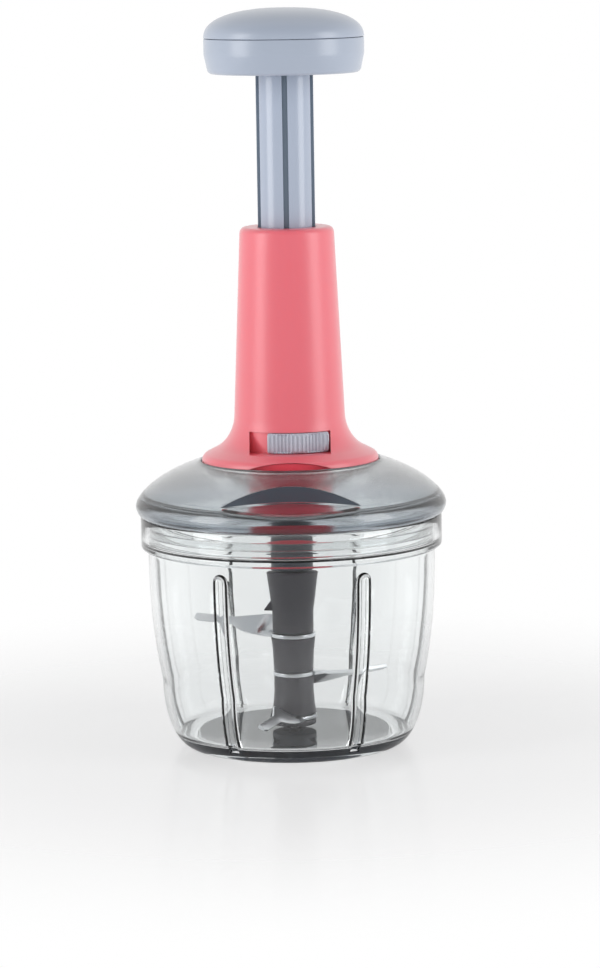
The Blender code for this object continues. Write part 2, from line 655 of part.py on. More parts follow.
def make_hub():
    """The rotor's stack on its six-sided spindle, which turns on the bowl's pin."""
    spindle = hexagon("rotor_spindle", SPINDLE_FLATS, HUB_FOOT_Z, SPINDLE_TOP_Z, "drive_grey")
    pin_bore = drum("spindle_bore", PIN_RADIUS + RUN_GAP, HUB_FOOT_Z - OVERRUN, PIN_TOP_Z + GAP)
    cut(spindle, pin_bore)
    foot_top = HUB_FOOT_Z + HUB_FOOT_HEIGHT
    foot, foot_bore = hub_piece(
        "hub_foot",
        [(HUB_FOOT_RADIUS, foot_top), (HUB_FOOT_RADIUS, HUB_FOOT_Z + GAP), (HUB_FOOT_RADIUS - GAP, HUB_FOOT_Z)],
    )
    cut(foot, foot_bore)
    bottom, bottom_bore = hub_piece(
        "hub_bottom",
        [
            (HUB_WAIST_RADIUS, HUB_BOTTOM_Z + HUB_BOTTOM_HEIGHT),
            (HUB_WAIST_RADIUS, HUB_BOTTOM_Z + HUB_BOTTOM_HEIGHT * 0.62),
            (HUB_WAIST_RADIUS + (HUB_SHOULDER_RADIUS - HUB_WAIST_RADIUS) * 0.4, HUB_BOTTOM_Z + HUB_BOTTOM_HEIGHT * 0.3),
            (HUB_SHOULDER_RADIUS, HUB_BOTTOM_Z),
        ],
    )
    cut(bottom, bottom_bore)
    middle, middle_bore = hub_piece(
        "hub_middle",
        [
            (HUB_SHOULDER_RADIUS, HUB_MIDDLE_Z + HUB_MIDDLE_HEIGHT),
            (HUB_WAIST_RADIUS + (HUB_SHOULDER_RADIUS - HUB_WAIST_RADIUS) * 0.4, HUB_MIDDLE_Z + HUB_MIDDLE_HEIGHT * 0.6),
            (HUB_WAIST_RADIUS, HUB_MIDDLE_Z),
        ],
    )
    cut(middle, middle_bore)
    head_edge_z = HUB_HEAD_Z - HUB_HEAD_EDGE
    top, top_bore = hub_piece(
        "hub_top",
        [
            (HUB_HEAD_RADIUS - HUB_HEAD_EDGE / 2, HUB_HEAD_Z),
            (HUB_HEAD_RADIUS, head_edge_z),
            (HUB_NECK_RADIUS + (HUB_HEAD_RADIUS - HUB_NECK_RADIUS) * 0.3, HUB_TOP_Z + HUB_TOP_HEIGHT * 0.58),
            (HUB_NECK_RADIUS, HUB_TOP_Z + HUB_TOP_HEIGHT * 0.36),
            (HUB_NECK_RADIUS, HUB_TOP_Z),
        ],
    )
    join(top, make_lug())
    cut(top, top_bore)
    return [spindle, foot, bottom, middle, top]


def make_lug():
    """The wedge on the hub's side above the upper blade."""
    foot_z = HUB_TOP_Z + HUB_TOP_HEIGHT * 0.36
    inner = HUB_NECK_RADIUS - LUG_WIDTH / 4
    outline = [
        (inner, foot_z),
        (LUG_REACH, foot_z),
        (LUG_REACH, foot_z + GAP),
        (HUB_NECK_RADIUS + GAP, foot_z + LUG_HEIGHT),
        (inner, foot_z + LUG_HEIGHT),
    ]
    sections = [[Vector((r, side * LUG_WIDTH / 2, z)) for r, z in outline] for side in (-1, 1)]
    bm = lofted_bmesh(sections)
    bm.transform(Matrix.Rotation(math.radians(LUG_TURN_DEG), 4, "Z"))
    return place_bmesh("hub_lug", bm, None)


def blade_section(along, reach, tilt_start, pivot):
    """Five points across a blade at a distance along its arm: ground leading edge, flat trailing edge."""
    fin = min(1, max(0, along - tilt_start) / (BLADE_FIN_SHARE * reach - tilt_start))
    swell = BLADE_ROOT_HALF - BLADE_FINGER_HALF
    leading = BLADE_FINGER_HALF + swell * (1 - fin**3)
    trailing = -(BLADE_FINGER_HALF + swell * (1 - fin))
    if along > reach - BLADE_FINGER_HALF:
        leading -= BLADE_FINGER_HALF / 2
    grind = min(BLADE_GRIND, (leading - trailing) * 0.6)
    half, edge = BLADE_THICKNESS / 2, BLADE_EDGE_THICKNESS / 2
    flat = [(trailing, half), (leading - grind, half), (leading, edge), (leading, -edge), (trailing, -half)]
    share = min(1, max(0, (along - tilt_start) / BLADE_TWIST_LENGTH))
    tilt = math.radians(BLADE_TILT_DEG) * share
    points = []
    for across, up in flat:
        lever = across - pivot
        points.append(
            Vector(
                (
                    along,
                    pivot + lever * math.cos(tilt) + up * math.sin(tilt),
                    up * math.cos(tilt) - lever * math.sin(tilt),
                )
            )
        )
    return points


def make_blade(name, ring_z, ring_radius, turn_deg, tilt_start, pivot):
    """A stamped blade: a ring with the spindle's hexagon, and an arm that twists as it leaves the hub."""
    middle_z = ring_z + BLADE_THICKNESS / 2
    rib_tip = bowl_radius(middle_z) - BOWL_WALL - RIB_SINK - RIB_RADIUS
    reach = rib_tip - BLADE_TIP_GAP
    places = [ring_radius * 0.68, tilt_start]
    places += [tilt_start + BLADE_TWIST_LENGTH * share for share in (0.35, 0.7, 1)]
    twist_end = tilt_start + BLADE_TWIST_LENGTH
    fin_end = BLADE_FIN_SHARE * reach
    places += [twist_end + (fin_end - twist_end) * share for share in (0.3, 0.55, 0.75, 0.9, 1)]
    places += [reach - BLADE_FINGER_HALF, reach]
    arm_bmesh = lofted_bmesh([blade_section(s, reach, tilt_start, pivot) for s in places])
    spin = Matrix.Rotation(math.radians(turn_deg), 4, "Z")
    arm_bmesh.transform(Matrix.Translation((0, 0, middle_z)) @ spin)
    arm = place_bmesh(f"{name}_arm", arm_bmesh, None)
    blade = drum(name, ring_radius, ring_z, ring_z + BLADE_THICKNESS, "steel")
    bore = hexagon(
        f"{name}_bore", SPINDLE_FLATS + 2 * GAP, ring_z - OVERRUN, ring_z + BLADE_THICKNESS + OVERRUN
    )
    join(blade, arm)
    cut(blade, bore)
    return blade


def make_blades():
    """Three blades. The upper and lower ones rise behind their cutting edge, and the middle one falls."""
    upper = make_blade(
        "blade_upper",
        UPPER_RING_Z,
        BLADE_RING_RADIUS,
        UPPER_BLADE_DEG,
        HUB_SHOULDER_RADIUS + 2 * GAP,
        BLADE_ROOT_HALF,
    )
    middle = make_blade(
        "blade_middle",
        MIDDLE_RING_Z,
        BLADE_LOWER_RING_RADIUS,
        MIDDLE_BLADE_DEG,
        HUB_WAIST_RADIUS + 2 * GAP,
        -BLADE_ROOT_HALF,
    )
    lower = make_blade(
        "blade_lower",
        LOWER_RING_Z,
        BLADE_RING_RADIUS,
        LOWER_BLADE_DEG,
        HUB_SHOULDER_RADIUS + 2 * GAP,
        BLADE_ROOT_HALF,
    )
    return [upper, middle, lower]


def dome_height(radius, inset=0):
    """The lid's height at a radius, outside or inset by a wall."""
    across = LID_RADIUS - DOME_START_RADIUS - inset
    seat_share = (LID_RECESS_RADIUS - DOME_START_RADIUS) / (LID_RADIUS - DOME_START_RADIUS)
    rise = (LID_CROWN_Z - LID_WIDEST_Z) / (1 - seat_share**DOME_POWER) ** (1 / DOME_POWER) - inset
    share = min(1, max(0, (radius - DOME_START_RADIUS) / across))
    return LID_WIDEST_Z + rise * (1 - share**DOME_POWER) ** (1 / DOME_POWER)


def dome_points(inner, inset, shares):
    """Dome profile points from an inner radius out to its widest."""
    outer = LID_RADIUS - inset
    return [(inner + (outer - inner) * s, dome_height(inner + (outer - inner) * s, inset)) for s in shares]


DOME_SHARES = (0, 0.22, 0.44, 0.64, 0.8, 0.91, 0.975, 1)


def lid_rim():
    """The lid's edge below its widest place, in to the skirt."""
    return [
        (LID_RADIUS - LID_EDGE_INSET * 0.3, LID_EDGE_Z + LID_WIDEST_RISE * 0.45),
        (LID_RADIUS - LID_EDGE_INSET, LID_EDGE_Z),
    ]


def lid_profile():
    """The lid's closed profile: dome, edge, skirt with the seal's groove, and the seat under the handle."""
    groove_low = SKIRT_FOOT_Z + GASKET_RISE
    groove_high = groove_low + GASKET_HEIGHT + 2 * GAP
    groove_radius = SKIRT_RADIUS - GASKET_DEPTH
    skirt_inner = SKIRT_RADIUS - SKIRT_WALL
    collar_outer = LID_HOLE_RADIUS + LID_COLLAR_WALL
    points = dome_points(LID_RECESS_RADIUS + GAP, 0, DOME_SHARES) + lid_rim()
    points += [(SKIRT_RADIUS, LID_EDGE_Z), (SKIRT_RADIUS, groove_high), (groove_radius, groove_high)]
    points += [(groove_radius, groove_low), (SKIRT_RADIUS, groove_low)]
    points += [(SKIRT_RADIUS, SKIRT_FOOT_Z + RIM_ROUND), (SKIRT_RADIUS - RIM_ROUND, SKIRT_FOOT_Z)]
    points += [(skirt_inner, SKIRT_FOOT_Z), (skirt_inner, LID_EDGE_Z + LID_WALL)]
    inner_dome = dome_points(collar_outer, LID_WALL, [s for s in DOME_SHARES if s not in (0, 1)])
    points += [point for point in reversed(inner_dome) if point[1] < LID_PLATE_UNDER_Z]
    plate_edge = [r for r, z in reversed(inner_dome) if z < LID_PLATE_UNDER_Z][-1] - LID_WALL
    points += [(plate_edge, LID_PLATE_UNDER_Z), (collar_outer, LID_PLATE_UNDER_Z)]
    collar_foot = LID_PLATE_UNDER_Z - LID_COLLAR_DEPTH
    points += [(collar_outer, collar_foot), (LID_HOLE_RADIUS, collar_foot), (LID_HOLE_RADIUS, LID_SEAT_Z)]
    points += [(LID_RECESS_RADIUS, LID_SEAT_Z), (LID_RECESS_RADIUS, LID_CROWN_Z - GAP)]
    return points


def scoop_mesh(extra):
    """One finger scoop as a tube along the dome's slope, thickest at its middle and grown by an extra."""
    near = Vector((SCOOP_INNER_RADIUS, 0, dome_height(SCOOP_INNER_RADIUS)))
    far = Vector((SCOOP_OUTER_RADIUS, 0, dome_height(SCOOP_OUTER_RADIUS)))
    half_chord = (far - near).length / 2
    radius = (half_chord**2 + SCOOP_DEPTH**2) / (2 * SCOOP_DEPTH)
    slope = (far - near).normalized()
    outwards = Vector((-slope.z, 0, slope.x))
    centre = (near + far) / 2 + outwards * (radius - SCOOP_DEPTH)
    steps = 10
    points, shares = [], []
    for i in range(steps + 1):
        place_share = 2 * i / steps - 1
        points.append(polar(centre.x, FRONT_DEG + SCOOP_HALF_DEG * place_share, centre.z))
        shares.append((radius - 1.3 * SCOOP_DEPTH * place_share**2 + extra) / radius)
    return tube_mesh(points, radius, shares, resolution=7)


def make_lid():
    """Smoked lid: dome, skirt and three finger scoops whose walls follow inside."""
    lid = turned("lid", lid_profile(), "smoked_lid", WIDE_STEPS)
    inset = LID_WALL / 2
    filled_dome = dome_points(LID_RECESS_RADIUS + LID_WALL, inset, DOME_SHARES)
    bulge = turned(
        "lid_bulge",
        [(0, filled_dome[0][1])] + filled_dome + [(LID_RADIUS - inset, LID_EDGE_Z + inset), (0, LID_EDGE_Z + inset)],
        steps=WIDE_STEPS,
    )
    boolean(bulge, around("lid_scoop_walls", scoop_mesh(LID_WALL), SCOOP_COUNT), "INTERSECT")
    join(lid, bulge)
    cut(lid, around("lid_scoops", scoop_mesh(0), SCOOP_COUNT))
    cut(lid, clamp_drums("lid_clamp_holes", CLAMP_SCREW_RADIUS + GAP, SKIRT_FOOT_Z, LID_CROWN_Z))
    groove_radius = SKIRT_RADIUS - GASKET_DEPTH
    low = SKIRT_FOOT_Z + GASKET_RISE + GAP
    lip = GASKET_HEIGHT / 3
    gasket = turned(
        "lid_gasket",
        [
            (groove_radius + GAP, low + GASKET_HEIGHT),
            (SKIRT_RADIUS - GAP, low + GASKET_HEIGHT),
            (SKIRT_RADIUS, low + GASKET_HEIGHT - lip),
            (SKIRT_RADIUS, low + lip),
            (SKIRT_RADIUS - GAP, low),
            (groove_radius + GAP, low),
        ],
        "seal",
        WIDE_STEPS,
    )
    return [lid, gasket]


def clamp_drums(name, radius, low, high):
    """Upright drums on the clamp screws' circle."""
    bm = bmesh.new()
    for degrees in CLAMP_DEG:
        matrix = Matrix.Translation(polar(CLAMP_CIRCLE_RADIUS, degrees, (low + high) / 2))
        bmesh.ops.create_cone(
            bm, cap_ends=True, segments=12, radius1=radius, radius2=radius, depth=high - low, matrix=matrix
        )
    return place_bmesh(name, bm, None)


def handle_outer_side():
    """The handle's outer profile: round shoulder, tapered grip and concave flare."""
    shoulder_z = HANDLE_TOP_Z - GRIP_ROUND
    points = arc((GRIP_TOP_RADIUS - GRIP_ROUND, shoulder_z), GRIP_ROUND, 90, 0, 4)
    across, drop = FLARE_RADIUS - GRIP_FOOT_RADIUS, GRIP_FOOT_Z - FLARE_Z
    for degrees in (0, 18, 36, 52, 66, 78, 90):
        angle = math.radians(degrees)
        points.append((FLARE_RADIUS - across * math.cos(angle), GRIP_FOOT_Z - drop * math.sin(angle)))
    points[-1] = (FLARE_RADIUS - FLARE_ROUND / 2, FLARE_Z)
    points += [(FLARE_RADIUS, FLARE_Z - FLARE_ROUND), (FLARE_RADIUS, HANDLE_FOOT_Z)]
    return points


def make_housing():
    """Red handle housing with the lock's window in front and three arches under its flare."""
    flare_inner = FLARE_RADIUS - FLARE_WALL
    under_flare = FLARE_Z - FLARE_WALL
    tube_hole = TUBE_RADIUS + GAP
    profile = [(tube_hole, HANDLE_TOP_Z)] + handle_outer_side()
    profile += [(flare_inner, HANDLE_FOOT_Z), (flare_inner, under_flare)]
    profile += [(GRIP_BORE_RADIUS, under_flare + FLARE_WALL / 2), (GRIP_BORE_RADIUS, GRIP_FOOT_Z)]
    profile += [(GRIP_TOP_BORE_RADIUS, HANDLE_TOP_Z - TOP_WALL), (tube_hole, HANDLE_TOP_Z - TOP_WALL)]
    housing = turned("handle_housing", profile, "red_plastic", HANDLE_STEPS)
    window = sectors(
        "lock_window",
        WINDOW_FLOOR_RADIUS,
        FLARE_RADIUS + OVERRUN,
        WINDOW_Z,
        WINDOW_TOP_Z,
        [FRONT_DEG],
        WINDOW_HALF_DEG,
        steps=14,
    )
    slot = sectors(
        "lock_stem_slot",
        GRIP_BORE_RADIUS - OVERRUN,
        WINDOW_FLOOR_RADIUS + OVERRUN,
        STEM_Z - GAP,
        STEM_Z + STEM_HEIGHT + GAP,
        [FRONT_DEG],
        STEM_HALF_DEG + THUMB_OFFSET_DEG + THUMB_END_GAP_DEG,
    )
    holes = clamp_drums(
        "housing_clamp_holes", CLAMP_SCREW_RADIUS + GAP, HANDLE_FOOT_Z - OVERRUN, clamp_top_z() + GAP
    )
    cut(housing, window, slot, flare_arches(), holes)
    return housing


def flare_arches():
    """Cutters for the shallow arches under the flare, one over each of the lid's scoops."""
    length = FLARE_RADIUS + OVERRUN - NOTCH_FLOOR_RADIUS
    bm = bmesh.new()
    bmesh.ops.create_cone(
        bm, cap_ends=True, segments=32, radius1=NOTCH_HALF_WIDTH, radius2=NOTCH_HALF_WIDTH, depth=length
    )
    foot_z = HANDLE_FOOT_Z - BASE_PLATE
    flatten = Matrix.Diagonal((1, (HANDLE_FOOT_Z + NOTCH_RISE - foot_z) / NOTCH_HALF_WIDTH, 1, 1))
    lay = Matrix.Rotation(math.pi / 2, 4, "X")
    bm.transform(Matrix.Translation((0, -NOTCH_FLOOR_RADIUS - length / 2, foot_z)) @ lay @ flatten)
    mesh = bpy.data.meshes.new("flare_arch")
    bm.to_mesh(mesh)
    bm.free()
    return around("flare_arches", mesh, SCOOP_COUNT)


def clamp_top_z():
    """The top end of a clamp screw, in the housing's flare."""
    return BASE_TOP_Z + CLAMP_GRIP


def make_handle_base():
    """The plate under the handle with the neck and boss that hold the drive."""
    bore = BOSS_BORE_RADIUS
    plate_radius = FLARE_RADIUS - FLARE_WALL - GAP
    chamfer = NECK_RADIUS - BOSS_RADIUS
    boss_foot = COVER_LIP_TOP_Z + GAP
    journal_hole = JOURNAL_RADIUS + RUN_GAP
    base = turned(
        "handle_base",
        [
            (plate_radius, BASE_TOP_Z),
            (plate_radius, HANDLE_FOOT_Z),
            (NECK_RADIUS, HANDLE_FOOT_Z),
            (NECK_RADIUS, NECK_FOOT_Z),
            (BOSS_RADIUS, NECK_FOOT_Z - chamfer),
            (BOSS_RADIUS, boss_foot),
            (bore, boss_foot),
            (bore, WEB_UNDER_Z),
            (journal_hole, WEB_UNDER_Z),
            (journal_hole, WEB_TOP_Z),
            (bore, WEB_TOP_Z),
            (bore, BASE_TOP_Z),
        ],
        "red_plastic",
        HANDLE_STEPS,
    )
    cut(base, clamp_drums("base_clamp_holes", CLAMP_SCREW_RADIUS + GAP, LID_SEAT_Z - OVERRUN, FLARE_Z))
    cover = turned(
        "boss_cover",
        [
            (bore - GAP, COVER_TOP_Z),
            (bore - GAP, COVER_LIP_TOP_Z),
            (BOSS_RADIUS, COVER_LIP_TOP_Z),
            (BOSS_RADIUS, COVER_FOOT_Z + RIM_ROUND),
            (BOSS_RADIUS - RIM_ROUND, COVER_FOOT_Z),
            (COUPLING_RADIUS + RUN_GAP, COVER_FOOT_Z),
            (COUPLING_RADIUS + RUN_GAP, COVER_TOP_Z),
        ],
        "red_plastic",
        HANDLE_STEPS,
    )
    return [base, cover]


def make_clamp_screws():
    """Three screws that clamp the lid between the handle and its base."""
    screws = []
    head_top = LID_PLATE_UNDER_Z - GAP
    for i, degrees in enumerate(CLAMP_DEG):
        screw = turned(
            f"clamp_screw_{i + 1}",
            [
                (0, clamp_top_z()),
                (CLAMP_SCREW_RADIUS - GAP, clamp_top_z()),
                (CLAMP_SCREW_RADIUS, clamp_top_z() - GAP),
                (CLAMP_SCREW_RADIUS, head_top),
                (CLAMP_HEAD_RADIUS, head_top),
                (CLAMP_HEAD_RADIUS, head_top - CLAMP_HEAD_HEIGHT + GAP),
                (CLAMP_HEAD_RADIUS - GAP, head_top - CLAMP_HEAD_HEIGHT),
                (0, head_top - CLAMP_HEAD_HEIGHT),
            ],
            "steel",
            steps=12,
        )
        screw.location = polar(CLAMP_CIRCLE_RADIUS, degrees, 0)
        screws.append(screw)
    return screws


def groove_bars(name, width, inner, outer, low, high):
    """Upright bars about Z, one for each groove of the plunger's tube."""
    bm = bmesh.new()
    size = Matrix.Diagonal((outer - inner, width, high - low, 1))
    bmesh.ops.create_cube(bm, size=1, matrix=Matrix.Translation(((inner + outer) / 2, 0, (low + high) / 2)) @ size)
    mesh = bpy.data.meshes.new(name)
    bm.to_mesh(mesh)
    bm.free()
    return around(name, mesh, GROOVE_COUNT)


def make_guide():
    """Guide sleeve in the top of the handle, keyed to the tube's grooves. The nut stops against it."""
    outer = GRIP_TOP_BORE_RADIUS - GAP
    inner = TUBE_RADIUS + RUN_GAP
    sleeve = turned(
        "guide_sleeve",
        [(outer, GUIDE_TOP_Z), (outer, GUIDE_FOOT_Z), (inner, GUIDE_FOOT_Z), (inner, GUIDE_TOP_Z)],
        "white_nylon",
        HANDLE_STEPS,
    )
    key_tip = TUBE_RADIUS - GROOVE_DEPTH + RUN_GAP
    keys = groove_bars("guide_keys", GUIDE_KEY_WIDTH, key_tip, inner + OVERRUN, GUIDE_FOOT_Z, GUIDE_TOP_Z)
    join(sleeve, keys)
    return sleeve


def make_spring():
    """The return spring, one unbroken coil between its seat and the nut."""
    low, high = SPRING_FOOT_Z + SPRING_WIRE_RADIUS, SPRING_TOP_Z - SPRING_WIRE_RADIUS
    count = SPRING_TURNS * SPRING_TURN_POINTS
    points = [
        polar(SPRING_RADIUS, 360 * i / SPRING_TURN_POINTS, low + (high - low) * i / count)
        for i in range(count + 1)
    ]
    pitch = (high - low) / SPRING_TURNS
    print(f"spring: least gap between turns {(pitch - 2 * SPRING_WIRE_RADIUS) / MM:.2f} mm")
    spring = place("return_spring", tube_mesh(points, SPRING_WIRE_RADIUS, resolution=1), "spring_steel")
    seat = turned(
        "spring_seat",
        [
            (BOSS_BORE_RADIUS - GAP, SPRING_SEAT_Z + SPRING_SEAT),
            (BOSS_BORE_RADIUS - GAP, SPRING_SEAT_Z),
            (SPRING_SEAT_INNER_RADIUS, SPRING_SEAT_Z),
            (SPRING_SEAT_INNER_RADIUS, SPRING_SEAT_Z + SPRING_SEAT),
        ],
        "steel",
    )
    return [spring, seat]


def make_lock():
    """The lock: a ring round the spring with two lugs over the nut, and a ribbed thumb piece in the window."""
    ring = turned(
        "lock_slider",
        [
            (LOCK_RING_RADIUS, LOCK_RING_TOP_Z),
            (LOCK_RING_RADIUS, LOCK_RING_Z),
            (LOCK_RING_BORE, LOCK_RING_Z),
            (LOCK_RING_BORE, LOCK_RING_TOP_Z),
        ],
        "slider_grey",
        HANDLE_STEPS,
    )
    overlap = LOCK_RING_WALL / 2
    lugs = sectors(
        "lock_lugs",
        LOCK_LUG_RADIUS,
        LOCK_RING_BORE + overlap,
        LOCK_LUG_Z,
        LOCK_LUG_Z + LOCK_LUG_HEIGHT,
        LOCK_LUG_DEG,
        LOCK_LUG_HALF_DEG,
        steps=3,
    )
    thumb_inner = WINDOW_FLOOR_RADIUS + GAP
    stem = sectors(
        "lock_stem",
        LOCK_RING_RADIUS - overlap,
        thumb_inner + THUMB_THICKNESS / 2,
        STEM_Z,
        STEM_Z + STEM_HEIGHT,
        [THUMB_DEG],
        STEM_HALF_DEG,
        steps=4,
    )
    thumb = sectors(
        "lock_thumb",
        thumb_inner,
        THUMB_RADIUS,
        WINDOW_Z + GAP,
        WINDOW_TOP_Z - GAP,
        [THUMB_DEG],
        THUMB_HALF_DEG,
        steps=14,
    )
    pitch_deg = math.degrees(THUMB_RIB_PITCH / THUMB_RADIUS)
    middle = (THUMB_RIB_COUNT - 1) / 2
    rib_inset = THUMB_RIB_WIDTH
    ribs = sectors(
        "lock_thumb_ribs",
        THUMB_RADIUS - THUMB_RIB_HEIGHT,
        THUMB_RADIUS + THUMB_RIB_HEIGHT,
        WINDOW_Z + GAP + rib_inset,
        WINDOW_TOP_Z - GAP - rib_inset,
        [THUMB_DEG + pitch_deg * (i - middle) for i in range(THUMB_RIB_COUNT)],
        math.degrees(THUMB_RIB_WIDTH / THUMB_RADIUS) / 2,
        steps=1,
    )
    join(ring, lugs, stem, thumb, ribs)
    return ring


def make_tube():
    """The plunger's grooved tube and the plug in its top."""
    inner = TUBE_RADIUS - TUBE_WALL
    tube = turned(
        "plunger_tube",
        [(TUBE_RADIUS, TUBE_TOP_Z), (TUBE_RADIUS, TUBE_FOOT_Z), (inner, TUBE_FOOT_Z), (inner, TUBE_TOP_Z)],
        "grey_plastic",
        HANDLE_STEPS,
    )
    grooves = groove_bars(
        "tube_grooves",
        GROOVE_WIDTH,
        TUBE_RADIUS - GROOVE_DEPTH,
        TUBE_RADIUS + OVERRUN,
        TUBE_FOOT_Z - OVERRUN,
        TUBE_TOP_Z + OVERRUN,
    )
    cut(tube, grooves)
    plug_top = TUBE_TOP_Z - GAP
    plug = drum("tube_plug", inner - GAP, plug_top - PLUG_LENGTH, plug_top, "grey_plastic")
    cut(plug, drum("plug_hole", KNOB_SCREW_RADIUS + GAP, screw_foot_z() - GAP, plug_top + OVERRUN, steps=12))
    return [tube, plug]


def screw_foot_z():
    """The lower end of the knob's screw, in the tube's plug."""
    return knob_web_top_z() + GAP - KNOB_SCREW_LENGTH


def knob_web_top_z():
    """The top of the knob's web, under the screw's head."""
    return KNOB_WEB_Z + KNOB_WALL


def make_knob():
    """The palm knob: a cup that the tube stands in, its screw, and a domed cap."""
    wall, barrel_z = KNOB_WALL, KNOB_FOOT_Z + KNOB_BASE_HEIGHT * KNOB_BARREL_SHARE
    side = KNOB_RADIUS - KNOB_FOOT_RADIUS
    fall = barrel_z - KNOB_FOOT_Z
    socket = TUBE_RADIUS + GAP
    hub = socket + wall
    seam_low = KNOB_SEAM_Z - GAP / 2
    plate_top = KNOB_FOOT_Z + wall
    base_profile = [(KNOB_RADIUS, seam_low)]
    for degrees in (0, 30, 55, 75, 90):
        angle = math.radians(degrees)
        base_profile.append((KNOB_FOOT_RADIUS + side * math.cos(angle), barrel_z - fall * math.sin(angle)))
    base_profile += [(socket, KNOB_FOOT_Z), (socket, KNOB_WEB_Z)]
    hole = KNOB_SCREW_RADIUS + GAP
    base_profile += [(hole, KNOB_WEB_Z), (hole, knob_web_top_z()), (hub, knob_web_top_z()), (hub, plate_top)]
    base_profile += [(KNOB_FOOT_RADIUS - wall / 2, plate_top), (KNOB_RADIUS - wall, barrel_z)]
    base_profile += [(KNOB_RADIUS - wall, seam_low)]
    base = turned("knob_base", base_profile, "grey_plastic", HANDLE_STEPS)
    cap = turned("knob_cap", knob_cap_profile(), "grey_plastic", HANDLE_STEPS)
    head_foot = knob_web_top_z() + GAP
    screw = turned(
        "knob_screw",
        [
            (0, head_foot + KNOB_SCREW_HEAD_HEIGHT),
            (KNOB_SCREW_HEAD_RADIUS - RIM_ROUND, head_foot + KNOB_SCREW_HEAD_HEIGHT),
            (KNOB_SCREW_HEAD_RADIUS, head_foot + KNOB_SCREW_HEAD_HEIGHT - RIM_ROUND),
            (KNOB_SCREW_HEAD_RADIUS, head_foot),
            (KNOB_SCREW_RADIUS, head_foot),
            (KNOB_SCREW_RADIUS, screw_foot_z()),
            (0, screw_foot_z()),
        ],
        "steel",
        steps=16,
    )
    return [base, cap, screw]


def crown_points(radius, foot_z, rise, shares):
    """A flat dome from the axis out to its foot, square-shouldered by its power."""
    points = []
    for share in shares:
        height = rise * (1 - share**KNOB_CROWN_POWER) ** (1 / KNOB_CROWN_POWER)
        points.append((radius * share, foot_z + height))
    return points


def knob_cap_profile():
    """The cap's profile: dome, seam, and the spigot that sits inside the cup."""
    wall = KNOB_WALL
    seam = KNOB_SEAM_Z + GAP / 2
    spigot_outer = KNOB_RADIUS - wall - GAP
    spigot_inner = spigot_outer - wall
    outside = crown_points(KNOB_RADIUS, seam, KNOB_CROWN, (0, 0.3, 0.52, 0.68, 0.8, 0.89, 0.95, 0.985, 1))
    inside = crown_points(spigot_inner, seam, KNOB_CROWN - wall, (0.97, 0.85, 0.65, 0.4, 0))
    spigot_foot = seam - KNOB_SPIGOT
    points = outside + [(spigot_outer, seam), (spigot_outer, spigot_foot)]
    points += [(spigot_inner, spigot_foot), (spigot_inner, seam)] + inside
    return points


def strip_bmesh(width, thickness, low, high):
    """A flat bar twisted by one turn in each lead. Its angle depends on height alone."""
    step = ROD_LEAD * ROD_STEP_DEG / 360
    first, last = math.floor(low / step), math.ceil(high / step)
    heights = [low] + [i * step for i in range(first + 1, last)] + [high]
    sections = []
    for z in heights:
        turn = Matrix.Rotation(2 * math.pi * z / ROD_LEAD, 3, "Z")
        outline = [(-1, -1), (0, -1), (1, -1), (1, 1), (0, 1), (-1, 1)]
        flat = [Vector((x * width / 2, y * thickness / 2, 0)) for x, y in outline]
        sections.append([turn @ point + Vector((0, 0, z)) for point in flat])
    return lofted_bmesh(sections)


def make_nut():
    """The drive nut in the tube's foot: its slot is twisted like the rod, so that sliding turns the rod."""
    spigot = TUBE_RADIUS - TUBE_WALL - GAP
    nut = turned(
        "drive_nut",
        [
            (0, NUT_SPIGOT_Z),
            (spigot, NUT_SPIGOT_Z),
            (spigot, NUT_TOP_Z),
            (NUT_FLANGE_RADIUS, NUT_TOP_Z),
            (NUT_FLANGE_RADIUS, NUT_FOOT_Z),
            (0, NUT_FOOT_Z),
        ],
        "white_nylon",
        HANDLE_STEPS,
    )
    slot = place_bmesh(
        "nut_slot",
        strip_bmesh(
            ROD_WIDTH + 2 * RUN_GAP, ROD_THICKNESS + 2 * RUN_GAP, NUT_FOOT_Z - OVERRUN, NUT_SPIGOT_Z + OVERRUN
        ),
        None,
    )
    notches = sectors(
        "nut_notches",
        LOCK_LUG_RADIUS - RUN_GAP,
        NUT_FLANGE_RADIUS + OVERRUN,
        NUT_FOOT_Z - OVERRUN,
        NUT_TOP_Z + OVERRUN,
        LOCK_LUG_DEG,
        LOCK_LUG_HALF_DEG + LOCK_NOTCH_EXTRA_DEG,
        steps=3,
    )
    cut(nut, slot, notches)
    return nut


